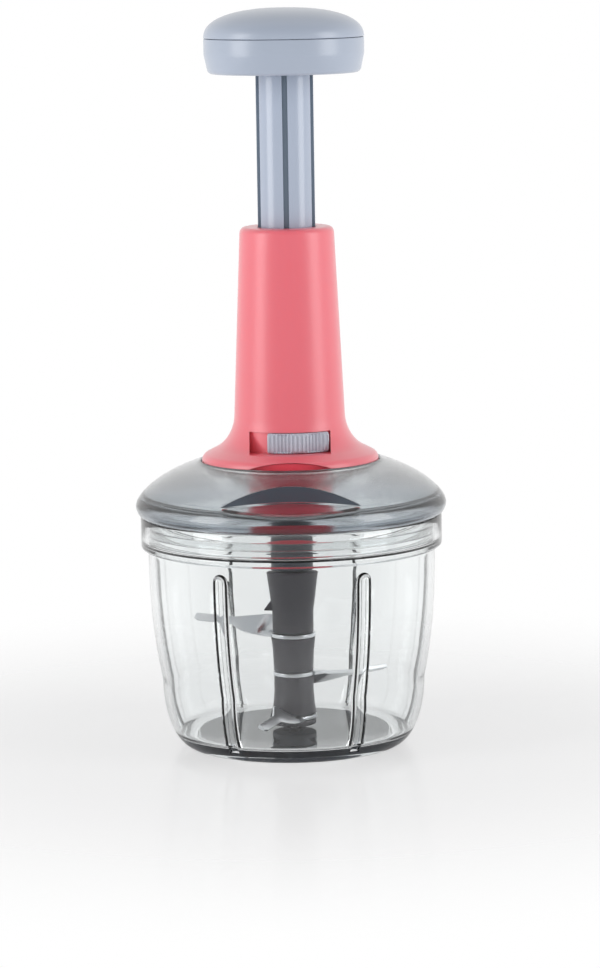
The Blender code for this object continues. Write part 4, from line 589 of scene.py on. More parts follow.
@dataclass
class Bowl:
    """The clear bowl, its seal-bearing collar, its flutes and the dark disc under its floor."""

    height: float = 93.5
    collar_radius: float = 60.2
    collar_step: float = 80.4
    body_radius: float = 57.4
    body_top: float = 79.2
    heel_radius: float = 52.6
    heel_height: float = 26.8
    foot_radius: float = 40.7
    foot_width: float = 2.0
    wall: float = 2.6
    floor: float = 6.2
    underside: float = 4.4
    boss: Point = (4.2, 7.4)
    seat: Point = (2.3, 5.4)
    flute_top: float = 75.5
    flute_foot: float = 3.5
    flute_radius: float = 2.3
    flute_lift: float = 0.9
    skin: float = 0.25
    flutes: list[float] = field(default_factory=lambda: [0.0, 60.0, 120.0, 180.0, 240.0, 300.0])

    def outer(self, z: float) -> float:
        """Gives the outer radius of the body at a height."""
        if z < self.heel_height:
            drop = (self.heel_height - z) / self.heel_height
            return self.foot_radius + (self.heel_radius - self.foot_radius) * math.sqrt(max(0.0, 1 - drop**2))
        share = min(1.0, (z - self.heel_height) / (self.body_top - self.heel_height))
        return self.body_radius - (self.body_radius - self.heel_radius) * (1 - share) ** 2.3

    def inner_side(self) -> list[Point]:
        """Gives the inner profile from the pin's seat up to the rim."""
        boss_radius, boss_top = self.boss
        corner_z = self.floor + 2.5
        corner_r = self.outer(corner_z) - self.wall - 2.5
        points = [(0.0, self.seat[1]), (self.seat[0], self.seat[1]), (self.seat[0], boss_top)]
        points += [(boss_radius - 0.4, boss_top), (boss_radius, boss_top - 0.4), (boss_radius + 0.1, self.floor + 0.4)]
        points += [(boss_radius + 0.6, self.floor), (corner_r * 0.5, self.floor)]
        for degrees in range(0, 70, 8):
            angle = math.radians(degrees)
            points.append((corner_r + 2.5 * math.sin(angle), corner_z - 2.5 * math.cos(angle)))
        steps = 36
        low = corner_z + 0.6
        heights = [low + (self.body_top - low) * i / steps for i in range(steps + 1)]
        points += [(self.outer(z) - self.wall, z) for z in heights]
        ledge, inner_collar = self.collar_step + self.wall, self.collar_radius - self.wall
        start = self.body_radius - self.wall
        points += [(start + 0.3, ledge - 0.6), (start + 0.9, ledge)]
        for degrees in range(0, 91, 15):
            angle = math.radians(degrees)
            points.append((inner_collar - 1.2 * (1 - math.sin(angle)), ledge + 1.2 * (1 - math.cos(angle))))
        return points

    def outer_side(self) -> list[Point]:
        """Gives the outer profile from the rim down to the recess under the floor."""
        inner_collar = self.collar_radius - self.wall
        points = rounded(
            [
                (inner_collar, self.height - 3, 0),
                (inner_collar, self.height, 0.7),
                (self.collar_radius, self.height, 0.8),
                (self.collar_radius, self.collar_step, 1.2),
                (self.body_radius, self.collar_step, 0.7),
                (self.outer(77.8), 77.8, 0),
            ],
            closed=False,
        )
        points += [(self.outer(z), z) for z in [77.0 - (77.0 - self.heel_height) * i / 26 for i in range(27)]]
        for degrees in range(4, 88, 4):
            angle = math.radians(degrees)
            z = self.heel_height * (1 - math.sin(angle))
            points.append((self.outer(z), z))
        inner = self.foot_radius - self.foot_width
        points += [(self.foot_radius + 0.1, 0.06), (self.foot_radius - 0.5, 0.0), (inner + 0.5, 0.0), (inner, 0.5)]
        return points + [(inner, self.underside), (0.0, self.underside)]

    def flute_path(self, offset: float, high: float, low: float) -> list[Vector]:
        """Gives points down the wall at an offset from its outer face."""
        steps = 34
        heights = [high + (low - high) * i / steps for i in range(steps + 1)]
        return [Vector((self.outer(z) + offset, 0, z)) for z in heights]

    def core(self) -> bpy.types.Object:
        """Fills the body up to just below its outer face, which bounds the ribs inside."""
        low, high = self.floor - 0.8, self.body_top - 0.4
        heights = [high + (low - high) * i / 40 for i in range(41)]
        side = [(self.outer(z) - self.skin, z) for z in heights]
        return swept("bowl_core", lambda _: [(0.0, high), *side, (0.0, low)], even_angles(180), closed=False)

    def build(self) -> None:
        """Builds the bowl and the disc under it."""
        bowl = swept("bowl_wall", lambda _: self.inner_side() + self.outer_side(), even_angles(216), closed=False)
        rib_path = self.flute_path(self.flute_lift, self.flute_top + self.wall, self.floor - 0.3)
        ribs = around_axis(piped("bowl_rib", rib_path, self.flute_radius + self.wall, 48), self.flutes)
        combine(ribs, self.core(), "INTERSECT")
        combine(bowl, ribs, "UNION")
        path = self.flute_path(self.flute_lift, self.flute_top, self.flute_foot)
        groove = piped("bowl_flute", path, self.flute_radius)
        combine(bowl, around_axis(groove, self.flutes), "DIFFERENCE")
        install(bowl, "bowl_unit", ["bowl"], "clear_plastic", BOWL_SAN)
        disc_radius = self.foot_radius - self.foot_width - GAP
        top = self.underside + 0.05
        disc = turned(
            "bowl_base_disc",
            [(0, top, 0), (disc_radius, top, 0.1), (disc_radius - 0.8, top - 0.6, 0.2), (26, top - 0.7, 0.2),
             (25.4, top - 2.0, 0.2), (22.6, top - 2.0, 0.2), (22, top - 0.7, 0.2), (0, top - 0.7, 0)],
            closed=False,
        )
        install(disc, "bowl_unit", ["base_insert"], "insert_plastic", BASE_RUBBER)


@dataclass
class Rotor:
    """The stacked hub and its three blades."""

    flats: float = 8.6
    lower_ring: float = 10.2
    middle_ring: float = 27.804
    upper_ring: float = 43.504
    thickness: float = 1.5
    head: float = 70.6
    root_half: float = 7.0
    finger_half: float = 1.9
    tilt: float = 27.0
    twist_length: float = 4.2
    joint_gap: float = 0.3
    upper_turn: float = 148.0
    middle_turn: float = 34.0
    lower_turn: float = 252.0

    def build(self) -> None:
        """Builds the hub's pieces and the blades."""
        rise = self.thickness + self.joint_gap
        bottom, middle, top = self.lower_ring + rise, self.middle_ring + rise, self.upper_ring + rise
        self.hub("hub_foot_disc", ["hub_foot"], [(8.8, 9.9, 0.3), (8.8, 7.8, 0.5)])
        self.hub(
            "hub_bottom_sleeve",
            ["hub_bottom"],
            [
                (7.9, self.middle_ring - self.joint_gap, 0.25), (7.9, self.middle_ring - 6.2, 6),
                (8.3, bottom + 4.6, 6), (8.9, bottom, 0.25),
            ],
        )
        self.hub(
            "hub_middle_sleeve",
            ["hub_middle"],
            [(8.9, self.upper_ring - self.joint_gap, 0.25), (8.3, middle + 8.2, 6), (7.9, middle, 0.25)],
        )
        self.upper_sleeve(top)
        self.blade("blade_upper_stamping", "blade_upper", self.upper_ring, 9.0, 47.2, self.upper_turn, 9.5, 7.0)
        self.blade("blade_middle_stamping", "blade_middle", self.middle_ring, 8.1, 44.75, self.middle_turn, 8.5, -7.0)
        self.blade("blade_lower_stamping", "blade_lower", self.lower_ring, 9.0, 41.85, self.lower_turn, 9.5, 7.0)

    def hub(self, name: str, nodes: Sequence[str], side: Sequence[Corner]) -> bpy.types.Object:
        """Turns one hub piece from its outer side and bores its hexagon."""
        high, low = side[0][1], side[-1][1]
        piece = turned(name, [(0, high, 0), *side, (0, low, 0)], closed=False, steps=96)
        hexagon_cut(piece, self.flats, low - 2, high + 2)
        install(piece, "blade_rotor", nodes, "hub_plastic", HUB_PP)
        return piece

    def upper_sleeve(self, low: float) -> None:
        """Builds the tall upper sleeve with its flared head and the wedge on its side."""
        high = self.head
        side: list[Corner] = [
            (9.9, high, 0.3), (10.4, high - 1.0, 0.3), (10.2, high - 2.2, 0.4), (9.1, low + 14.4, 8), (8.3, low + 9, 6),
            (8.2, low, 0.25),
        ]
        piece = turned("hub_top_sleeve", [(0, high, 0), *side, (0, low, 0)], closed=False, steps=96)
        foot = low + 8.72
        outline = [(6.7, foot), (11.0, foot), (11.2, foot + 0.3), (8.5, foot + 4), (6.7, foot + 4)]
        turn = Matrix.Rotation(math.radians(170), 4, "Z")
        wedge = lofted("hub_wedge", [[turn @ Vector((r, y, z)) for r, z in outline] for y in (-3, 3)])
        combine(piece, wedge, "UNION")
        hexagon_cut(piece, self.flats, low - 2, high + 2)
        install(piece, "blade_rotor", ["hub_top"], "hub_plastic", HUB_PP)

    def section(self, along: float, reach: float, start: float, pivot: float) -> list[Vector]:
        """Gives a blade's cross-section at a distance along its arm.

        Args:
            along: Distance from the axis.
            reach: Distance of the tip.
            start: Distance at which the arm starts to twist.
            pivot: Place across the blade that the twist leaves level.

        Returns:
            The section's points, leading edge ground thin.
        """
        fin = min(1.0, max(0.0, along - start) / (0.59 * reach - start))
        swell = self.root_half - self.finger_half
        leading = self.finger_half + swell * (1 - fin**3)
        trailing = -(self.finger_half + swell * (1 - fin))
        if along > reach - self.finger_half:
            leading -= self.finger_half / 2 * (along - reach + self.finger_half) / self.finger_half
        grind = min(2.2, 0.6 * (leading - trailing))
        half, edge = self.thickness / 2, 0.12
        flat = [
            (trailing, half - 0.15), (trailing + 0.15, half), (leading - grind, half), (leading, edge),
            (leading, -edge), (leading - 0.3, -half), (trailing + 0.15, -half), (trailing, 0.15 - half),
        ]
        share = min(1.0, max(0.0, (along - start) / self.twist_length))
        tilt = math.radians(self.tilt) * share * share * (3 - 2 * share)
        points = []
        for across, up in flat:
            lever = across - pivot
            y = pivot + lever * math.cos(tilt) + up * math.sin(tilt)
            points.append(Vector((along, y, up * math.cos(tilt) - lever * math.sin(tilt))))
        return points

    def blade(
        self, name: str, node: str, ring: float, ring_radius: float, reach: float, turn: float, start: float, pivot: float
    ) -> None:
        """Builds one stamped blade with its ring and bore."""
        places = [ring_radius * 0.68, start] + [start + self.twist_length * k / 6 for k in range(1, 7)]
        bend_end, fin_end = start + self.twist_length, 0.59 * reach
        places += [bend_end + (fin_end - bend_end) * k / 8 for k in range(1, 9)]
        places += [fin_end + (reach - self.finger_half - fin_end) * k / 4 for k in range(1, 5)] + [reach - 0.8, reach]
        middle = ring + self.thickness / 2
        placing = Matrix.Translation((0, 0, middle)) @ Matrix.Rotation(math.radians(turn), 4, "Z")
        arm = lofted("blade_arm", [[placing @ p for p in self.section(s, reach, start, pivot)] for s in places])
        blade = turned(
            name,
            [
                (0, ring + self.thickness, 0), (ring_radius, ring + self.thickness, 0.15), (ring_radius, ring, 0.15),
                (0, ring, 0),
            ],
            closed=False,
            steps=96,
        )
        combine(blade, arm, "UNION")
        hexagon_cut(blade, self.flats, ring - 2, ring + self.thickness + 2)
        install(blade, "blade_rotor", [node], "steel", BLADE_STEEL)


@dataclass
class Lid:
    """The smoked lid with three finger scoops, and the seal in its skirt."""

    radius: float = 62.0
    edge: float = 93.8
    widest: float = 97.5
    crown: float = 115.3
    seat: float = 112.6
    recess: float = 35.6
    wall: float = 2.4
    dome_start: float = 20.0
    power: float = 1.6
    skirt: float = 57.3
    skirt_wall: float = 1.6
    skirt_foot: float = 84.0
    hole: float = 18.3
    collar_wall: float = 2.2
    collar_depth: float = 4.0
    scoop_margin: float = 2.006
    scoop_width: float = 12.54
    scoop_drop: float = 4.264
    crease_share: float = 0.2
    tip_share: float = 0.12
    scoop_half: float = 28.0
    inner_end: float = 57.4
    scoops: list[float] = field(default_factory=lambda: [30.0, 150.0, 270.0])

    def dome(self, radius: float, inset: float = 0.0) -> float:
        """Gives the dome's height at a radius, outside or inset by the wall."""
        across = self.radius - self.dome_start - inset
        seat_share = (self.recess - self.dome_start) / (self.radius - self.dome_start)
        rise = (self.crown - self.widest) / (1 - seat_share**self.power) ** (1 / self.power) - inset
        share = min(1.0, max(0.0, (radius - self.dome_start) / across))
        return self.widest + rise * (1 - share**self.power) ** (1 / self.power)

    def scoop(self, angle: float) -> tuple[Vector, Vector, Vector, float]:
        """Gives the scoop's upper edge, crease and lower edge in a direction.

        Args:
            angle: Direction in degrees.

        Returns:
            The three places as radius and height, and the section's size from 0 to 1.
        """
        aside = min(abs((angle - scoop + 180) % 360 - 180) for scoop in self.scoops) / self.scoop_half
        size = max(0.004, 1 - aside**2)
        widest = self.radius - self.scoop_margin
        low_radius = widest - self.scoop_width * self.tip_share * min(1.0, aside**2)
        low = Vector((low_radius, self.dome(low_radius)))
        high_radius = low_radius - self.scoop_width * size
        fall = self.dome(widest - self.scoop_width) - self.dome(widest)
        share = 1 - self.crease_share
        crease = low + size * Vector((-self.scoop_width * share, fall * share - self.scoop_drop))
        return Vector((high_radius, self.dome(high_radius))), crease, low, size

    def outside(self, angle: float) -> list[Point]:
        """Gives the outer face in a direction, from the crown to the widest place."""
        high, crease, low, size = self.scoop(angle)
        inner = self.recess + 0.9
        points = []
        for i in range(14):
            radius = inner + (high.x - 0.35 - inner) * i / 14
            points.append((radius, self.dome(radius)))
        before = Vector((high.x - 0.6, self.dome(high.x - 0.6)))
        after = Vector((low.x + 0.6, self.dome(low.x + 0.6)))
        points += soft_corner(before, high, crease, 0.3, 3)
        points += soft_corner(high, crease, low, 0.9 * size, 6)
        points += soft_corner(crease, low, after, 0.3, 3)
        for i in range(1, 13):
            radius = low.x + 0.35 + (self.radius - low.x - 0.35) * math.sin(math.radians(7.5 * i))
            points.append((radius, self.dome(radius)))
        return points

    def inside(self, angle: float) -> list[Point]:
        """Gives the inner face in a direction, from above the skirt in to the plate under the handle."""
        high, crease, _, size = self.scoop(angle)
        behind, below = Vector((-0.925, -0.38)), Vector((-0.287, -0.958))
        grown = crease + (behind + below) * self.wall / (1 + behind.dot(below))
        rest = Vector((56.7, self.dome(56.7, self.wall)))
        grown = rest.lerp(grown, min(1.0, max(0.0, size - 0.004) / 0.15))
        end_z = min(self.dome(self.inner_end, self.wall), grown.y - 0.3 * (self.inner_end - grown.x))
        end = Vector((self.inner_end, end_z))
        high_radius = min(high.x - 1.6, grown.x - 0.05)
        top = Vector((high_radius, self.dome(high_radius, self.wall)))
        before = end.lerp(grown, 0.02)
        inner_skirt = self.skirt - self.skirt_wall
        points = [(inner_skirt, 97.0), (inner_skirt + 0.4, end.y - 1.6), (end.x, end.y)]
        points += soft_corner(before, grown, top, 1.2 * size, 6)
        points += soft_corner(grown, top, Vector((top.x - 0.6, self.dome(top.x - 0.6, self.wall))), 0.4, 3)
        for i in range(1, 15):
            radius = top.x - 0.4 + (34.0 - top.x + 0.4) * i / 14
            points.append((radius, self.dome(radius, self.wall)))
        return points

    def profile(self, angle: float) -> list[Point]:
        """Gives the lid's closed outline in a direction."""
        groove_low = self.skirt_foot + 2.7
        groove_high = groove_low + 3.2
        inner_skirt = self.skirt - self.skirt_wall
        collar = self.hole + self.collar_wall
        plate = self.seat - self.wall
        points = [(self.recess + 0.4, self.crown - 0.02)] + self.outside(angle)
        points += [(61.9, 96.3), (61.6, 95.4), (61.2, 94.6), (60.9, 94.1), (60.4, self.edge)]
        points += rounded(
            [
                (60.0, self.edge, 0), (self.skirt, self.edge, 0.3), (self.skirt, groove_high, 0.2),
                (self.skirt - 0.6, groove_high, 0.2), (self.skirt - 0.6, groove_low, 0.2), (self.skirt, groove_low, 0.2),
                (self.skirt, self.skirt_foot, 0.8), (inner_skirt, self.skirt_foot, 0.6), (inner_skirt, 96.4, 0),
            ],
            closed=False,
        )
        points += self.inside(angle)
        points += rounded(
            [
                (32.5, plate, 0), (collar, plate, 0.8), (collar, plate - self.collar_depth, 0.5),
                (self.hole, plate - self.collar_depth, 0.5), (self.hole, self.seat, 0.4), (self.recess, self.seat, 0.5),
                (self.recess, self.crown - 0.4, 0.0),
            ],
            closed=False,
        )
        return points

    def build(self) -> None:
        """Builds the lid, with painted shade in dark slate on its scoops' steep walls, and the seal."""
        offsets = [0.0] + [1.0 * i for i in range(1, 27)] + [26.8, 27.4, 27.8, 28.0, 28.4]
        lid = swept("lid_dome", self.profile, angles_near(self.scoops, offsets, 144))
        # Painted shade: faces on the scoops' steep walls take the dark slate second finish
        for face in lid.data.polygons:
            if self.on_steep_wall(face.center / MM):
                face.material_index = 1
        install(lid, "lid_unit", ["lid"], "smoked_plastic", LID_SAN, SCOOP_SHADE_SAN)
        low = self.skirt_foot + 3.0
        inner = self.skirt - 0.5
        seal = turned(
            "lid_seal",
            [(inner, low + 2.6, 0.1), (self.skirt, low + 2.6, 0.2), (self.skirt, low, 0.2), (inner, low, 0.1)],
        )
        install(seal, "lid_unit", ["lid_gasket"], "seal_rubber", SEAL_SILICONE)

    def on_steep_wall(self, place: Vector) -> bool:
        """Tells whether a face's centre lies on the steep wall between a scoop's upper edge and its crease."""
        high, crease, _, size = self.scoop(math.degrees(math.atan2(place.y, place.x)) % 360)
        radius = math.hypot(place.x, place.y)
        if size < 0.02 or not high.x + 0.02 < radius < crease.x:
            return False
        share = (radius - high.x) / (crease.x - high.x)
        return abs(place.z - (high.y + (crease.y - high.y) * share)) < 0.5


@dataclass
class Handle:
    """The red handle, its base under the lid, its cover and the three clamp screws."""

    foot: float = 112.9
    top: float = 208.0
    hole: float = 11.7
    grip_top: float = 18.65
    grip_foot: float = 22.0
    grip_foot_z: float = 134.0
    grip_bore: float = 19.65
    flare: float = 35.3
    flare_z: float = 118.5
    window: Point = (120.0, 128.4)
    window_half: float = 16.0
    window_floor: float = 21.65
    notch_half: float = 21.0
    notch_floor: float = 28.0
    notch_top: float = 117.9
    lip_round: float = 3.6

    def outside(self) -> list[Point]:
        """Gives the outer side from the shoulder down to the flare's lip."""
        points = rounded(
            [(self.hole + 1, self.top, 0), (self.grip_top, self.top, 2.4), (self.grip_top + 0.4, self.top - 9, 0)],
            closed=False,
        )
        across, drop = self.flare - self.grip_foot, self.grip_foot_z - self.flare_z
        for i in range(1, 5):
            share = (9 + (65 * i / 5)) / 74
            points.append((self.grip_top + (self.grip_foot - self.grip_top) * share, self.top - 74 * share))
        for degrees in range(0, 75, 6):
            angle = math.radians(degrees)
            points.append((self.flare - across * math.cos(angle), self.grip_foot_z - drop * math.sin(angle)))
        for degrees in range(70, -1, -10):
            angle = math.radians(degrees)
            across, up = self.lip_round * math.cos(angle), self.lip_round * math.sin(angle)
            points.append((self.flare - self.lip_round + across, self.flare_z - self.lip_round + up))
        return points

    def build(self) -> None:
        """Builds the housing, the base with its cover, and the screws."""
        lip = rounded(
            [(self.flare, self.flare_z - self.lip_round - 0.4, 0), (self.flare, self.foot, 0.4),
             (self.flare - 2.4, self.foot, 0.3), (self.flare - 2.4, self.flare_z - 2.4, 0.6),
             (self.grip_bore, self.flare_z - 1.2, 0.6), (self.grip_bore, self.grip_foot_z, 6), (16.3, self.top - 2.2, 0.6),
             (self.hole, self.top - 2.2, 0.2), (self.hole, self.top, 0.5), (self.hole + 1, self.top, 0)],
            closed=False,
        )
        profile = self.outside() + lip[:-1]
        housing = swept("handle_shell", lambda _: profile, even_angles(160))
        half = self.window_half
        window = lofted(
            "window_cut",
            [[Vector((x, y, z)) for x, y in ((-half, 0), (half, 0), (half, -40), (-half, -40))] for z in self.window],
        )
        combine(window, prism("window_floor", self.window_floor, 110.0, 140.0, 160), "DIFFERENCE")
        combine(housing, window, "DIFFERENCE")
        combine(
            housing,
            curved_block("slot_cut", (self.grip_bore - 2, self.window_floor + 2), (122.6, 125.8), FRONT, 17.5, 12),
            "DIFFERENCE",
        )
        for scoop in (30.0, 150.0, 270.0):
            combine(housing, self.arch(scoop, 0.0), "DIFFERENCE")
        install(housing, "lid_unit", ["handle_housing"], "red_plastic", HANDLE_PP)
        self.build_base()
        self.build_screws()

    def arch(self, direction: float, inset: float) -> bpy.types.Object:
        """Makes the block of one shallow arch under the flare, shrunk by an inset."""
        half, rise = self.notch_half - inset, self.notch_top - inset - 110.6
        ring = []
        for degrees in range(0, 360, 6):
            angle = math.radians(degrees)
            ring.append(Vector((0, half * math.cos(angle), 110.6 + rise * math.sin(angle))))
        turn = Matrix.Rotation(math.radians(direction), 4, "Z")
        ends = (self.notch_floor + inset, 40.0)
        return lofted("arch_block", [[turn @ (p + Vector((x, 0, 0))) for p in ring] for x in ends])

    def build_base(self) -> None:
        """Builds the plate, neck and boss under the lid, and the boss's cover."""
        base = turned(
            "handle_base_moulding",
            [(32.6, 115.2, 0.4), (32.6, 112.9, 0.4), (18.0, 112.9, 0.3), (18.0, 106.6, 0.5), (16.4, 105.0, 0.5),
             (16.4, 89.6, 3.0), (13.5, 86.8, 0.1), (12.2, 86.8, 0.1), (12.2, 88.8, 0.1), (14.0, 89.4, 0.1),
             (14.0, 99.0, 0.3), (4.85, 99.0, 0.2), (4.85, 101.5, 0.2), (14.0, 101.5, 0.3), (14.0, 115.2, 0.4)],
        )
        for scoop in (30.0, 150.0, 270.0):
            tab = self.arch(scoop, 0.4)
            aside = Matrix.Rotation(math.radians(1.3), 4, "Z")
            combine(tab, prism("tab_rim", 32.6, 114.2, 119.0, 120, aside), "INTERSECT")
            combine(base, tab, "UNION")
        install(base, "lid_unit", ["handle_base"], "red_plastic", BOSS_PP)
        cover = turned(
            "boss_cover_moulding",
            [
                (11.9, 88.4, 0.2), (11.9, 86.5, 0.1), (13.3, 86.5, 0.1), (10.9, 84.7, 0.8), (8.75, 84.7, 0.3),
                (8.75, 88.4, 0.2),
            ],
        )
        install(cover, "lid_unit", ["boss_cover"], "red_plastic", BOSS_PP)

    def build_screws(self) -> None:
        """Builds the three clamp screws with domed, cross-recessed heads."""
        for index, direction in enumerate((90.0, 210.0, 330.0), start=1):
            screw = turned(
                f"clamp_screw_{index}_turned",
                [(0, 120.1, 0), (1.5, 120.1, 0.3), (1.5, 109.9, 0.1), (3.0, 109.9, 0.1), (3.0, 108.7, 0.4),
                 (2.2, 107.8, 0.6), (0, 107.6, 0)],
                closed=False,
                steps=40,
            )
            for turn in (0, 90):
                spin = Matrix.Rotation(math.radians(turn + 45), 4, "Z")
                ring = [Vector((x, y, 0)) for x, y in ((-1.7, -0.35), (1.7, -0.35), (1.7, 0.35), (-1.7, 0.35))]
                bar = lofted("recess_cut", [[spin @ (p + Vector((0, 0, z))) for p in ring] for z in (106.5, 108.9)])
                combine(screw, bar, "DIFFERENCE")
            screw.data.transform(Matrix.Translation(polar(24.5, direction, 0) * MM))
            install(screw, "lid_unit", [f"clamp_screw_{index}"], "steel", ROD_STEEL)


@dataclass
class Lock:
    """The ring inside the handle and its ribbed thumb piece in the window."""

    ring: Point = (16.6, 19.3)
    heights: Point = (115.5, 126.85)
    lug_inner: float = 14.2
    lug_heights: Point = (123.55, 126.55)
    stem: Point = (122.9, 125.5)
    thumb: Point = (21.95, 24.55)
    thumb_heights: Point = (120.3, 128.1)
    thumb_centre: float = 278.85
    thumb_half: float = 30.3
    rib_pitch: float = 1.55
    rib_height: float = 0.55

    def thumb_section(self, angle: float) -> list[Vector]:
        """Gives the thumb piece's section in a direction, with its ribs and its two finger dips."""
        aside = (angle - self.thumb_centre) / self.thumb_half
        along = math.radians(angle - self.thumb_centre) * self.thumb[1]
        dip = 0.7 * math.cos(2 * math.pi * aside * 0.95) - 0.5
        ridge = max(0.0, math.cos(2 * math.pi * along / self.rib_pitch))
        faded = min(1.0, (1 - abs(aside)) * 14)
        face = self.thumb[1] - 0.15 + (dip + self.rib_height * math.sqrt(ridge)) * faded
        low, high = self.thumb_heights
        edge = self.thumb[1] - 0.75
        outline = [
            (self.thumb[0], low), (edge - 0.2, low), (edge, low + 0.15), (face - 0.2, low + 0.75), (face, low + 1.1),
            (face, high - 1.1), (face - 0.2, high - 0.75), (edge, high - 0.15), (edge - 0.2, high), (self.thumb[0], high),
        ]
        return [polar(radius, angle, height) for radius, height in outline]

    def build(self) -> None:
        """Builds the ring, its lugs, the stem and the thumb piece as one piece."""
        ring = turned(
            "lock_slider_moulding",
            [
                (self.ring[1], self.heights[1], 0.3), (self.ring[1], self.heights[0], 0.3),
                (self.ring[0], self.heights[0], 0.3), (self.ring[0], self.heights[1], 0.3),
            ],
        )
        for direction in (0.0, 180.0):
            lug = curved_block("lock_lug", (self.lug_inner, 18.0), self.lug_heights, direction, 9.0, 8)
            combine(ring, lug, "UNION")
        combine(ring, curved_block("lock_stem", (18.0, 23.2), self.stem, self.thumb_centre, 8.0, 8), "UNION")
        steps = 360
        angles = [self.thumb_centre + self.thumb_half * (2 * i / steps - 1) for i in range(steps + 1)]
        combine(ring, lofted("lock_thumb", [self.thumb_section(angle) for angle in angles]), "UNION")
        install(ring, "lock", ["lock_slider"], "slider_plastic", SLIDER_POM)


@dataclass
class Plunger:
    """The grooved tube and the two-part palm knob."""

    tube: Point = (9.4, 11.4)
    tube_heights: Point = (178.5, 276.3)
    grooves: dict[float, float] = field(
        default_factory=lambda: {270.0: 1.05, 342.0: 2.0, 198.0: 2.0, 54.0: 1.0, 126.0: 1.0}
    )
    groove_depth: float = 1.2
    knob_radius: float = 31.65
    knob_foot: float = 268.4
    seam: float = 282.3
    crown: float = 11.6
    barrel: float = 7.65
    foot_radius: float = 30.0
    seam_half: float = 0.09
    wall: float = 2.2

    def tube_profile(self, angle: float) -> list[Point]:
        """Gives the tube's outline in a direction, drawn in where a groove runs."""
        radius = self.tube[1]
        for centre, half in self.grooves.items():
            aside = abs((angle - centre + 180) % 360 - 180)
            if aside < math.degrees(half / radius) + 0.001:
                radius -= self.groove_depth
                break
        low, high = self.tube_heights
        return rounded(
            [(radius, high, 0.3), (radius, low, 0.3), (self.tube[0], low, 0.2), (self.tube[0], high, 0.2)]
        )

    def build(self) -> None:
        """Builds the tube, the cup under the knob and its cap."""
        edges = [math.degrees(half / self.tube[1]) for half in sorted(set(self.grooves.values()))]
        offsets = [0.0, 2.5] + [edge + step for edge in edges for step in (0.0, 0.12)] + [edges[-1] + 1.0]
        tube = swept("plunger_tube_moulding", self.tube_profile, angles_near(list(self.grooves), offsets, 96))
        # Painted shade: faces down in the keyways take the darker grey second finish
        for face in tube.data.polygons:
            radius = math.hypot(face.center.x, face.center.y) / MM
            if self.tube[0] + 0.3 < radius < self.tube[1] - 0.25:
                face.material_index = 1
        install(tube, "plunger", ["plunger_tube"], "pale_grey_plastic", TUBE_ABS, KEYWAY_SHADE_ABS)
        self.build_cup()
        self.build_cap()

    def build_cup(self) -> None:
        """Builds the lower half of the knob."""
        socket, foot = self.tube[1] + GAP, self.knob_foot
        barrel = foot + self.barrel
        low_seam = self.seam - self.seam_half
        web, hub = 276.6, socket + self.wall
        cup = turned(
            "knob_cup",
            [(self.knob_radius, low_seam, 0.3), (self.knob_radius, barrel, 7.0), (self.foot_radius, foot, 2.0),
             (socket, foot, 0.4), (socket, web, 0.2), (2.2, web, 0.1),
             (2.2, web + self.wall, 0.1), (hub, web + self.wall, 0.5), (hub, foot + self.wall, 0.8),
             (self.foot_radius - 2.9, foot + self.wall, 2.0), (self.knob_radius - self.wall, barrel, 2.0),
             (self.knob_radius - self.wall, low_seam, 0.2)],
            steps=160,
        )
        install(cup, "plunger", ["knob_base"], "pale_grey_plastic", PLUNGER_ABS)

    def build_cap(self) -> None:
        """Builds the domed cap whose spigot sits inside the cup."""
        seam = self.seam + self.seam_half
        spigot = self.knob_radius - self.wall - GAP
        inner = spigot - self.wall

        def crown(radius: float, rise: float, shares: Sequence[float]) -> list[Corner]:
            return [(radius * s, seam + rise * (1 - s**2.35) ** (1 / 2.35), 0.0) for s in shares]

        shares = [math.sin(math.radians(a)) for a in range(0, 84, 6)] + [0.995, 0.999]
        outside = crown(self.knob_radius, self.crown, shares) + [(self.knob_radius, seam, 0.35)]
        inside = crown(inner, self.crown - self.wall, [0.98, 0.94, 0.85, 0.7, 0.5, 0.25, 0.0])
        cap = turned(
            "knob_cap_moulding",
            [*outside, (spigot, seam, 0.1), (spigot, seam - 2.8, 0.4), (inner, seam - 2.8, 0.3), *inside],
            closed=False,
            steps=160,
        )
        install(cap, "plunger", ["knob_cap"], "pale_grey_plastic", PLUNGER_ABS)


@dataclass
class Coupling:
    """The dark coupling below the boss that drives the rotor's spindle."""

    foot: float = 71.7
    flange: Point = (90.0, 92.4)
    radius: float = 8.4
    flange_radius: float = 12.2
    socket_top: float = 82.35

    def build(self) -> None:
        """Builds the coupling with its dogs, thin ring and six-sided socket."""
        low, high = self.flange
        ring = self.foot + 5.6
        piece = turned(
            "drive_coupling_moulding",
            [(0, high, 0), (self.flange_radius, high, 0.3), (self.flange_radius, low, 0.3), (self.radius, low, 0.3),
             (self.radius, ring + 0.8, 0.2), (10.4, ring + 0.5, 0.15), (10.4, ring + 0.1, 0.15), (self.radius, ring, 0.2),
             (self.radius, self.foot, 0.6), (0, self.foot, 0)],
            closed=False,
        )
        for direction in (60.0, 180.0, 300.0):
            dog = curved_block("coupling_dog", (5.6, 9.3), (low + 1.2, high + 2.4), direction, 26.0, 12)
            combine(piece, dog, "UNION")
        hexagon_cut(piece, 8.7, self.foot - 2, self.socket_top)
        install(piece, "drive", ["drive_coupling"], "drive_plastic", DRIVE_NYLON)


NODE_FINISHES: dict[str, Finish] = {
    "pivot_pin": ROD_STEEL,
    "rotor_spindle": DRIVE_NYLON,
    "guide_sleeve": NUT_NYLON,
    "return_spring": SPRING_STEEL,
    "spring_seat": ROD_STEEL,
    "thrust_washer": NUT_NYLON,
    "spiral_rod": ROD_STEEL,
    "clutch_driver": DRIVE_NYLON,
    "clutch_pin": ROD_STEEL,
    "tube_plug": PLUNGER_ABS,
    "knob_screw": ROD_STEEL,
    "drive_nut": NUT_NYLON,
}


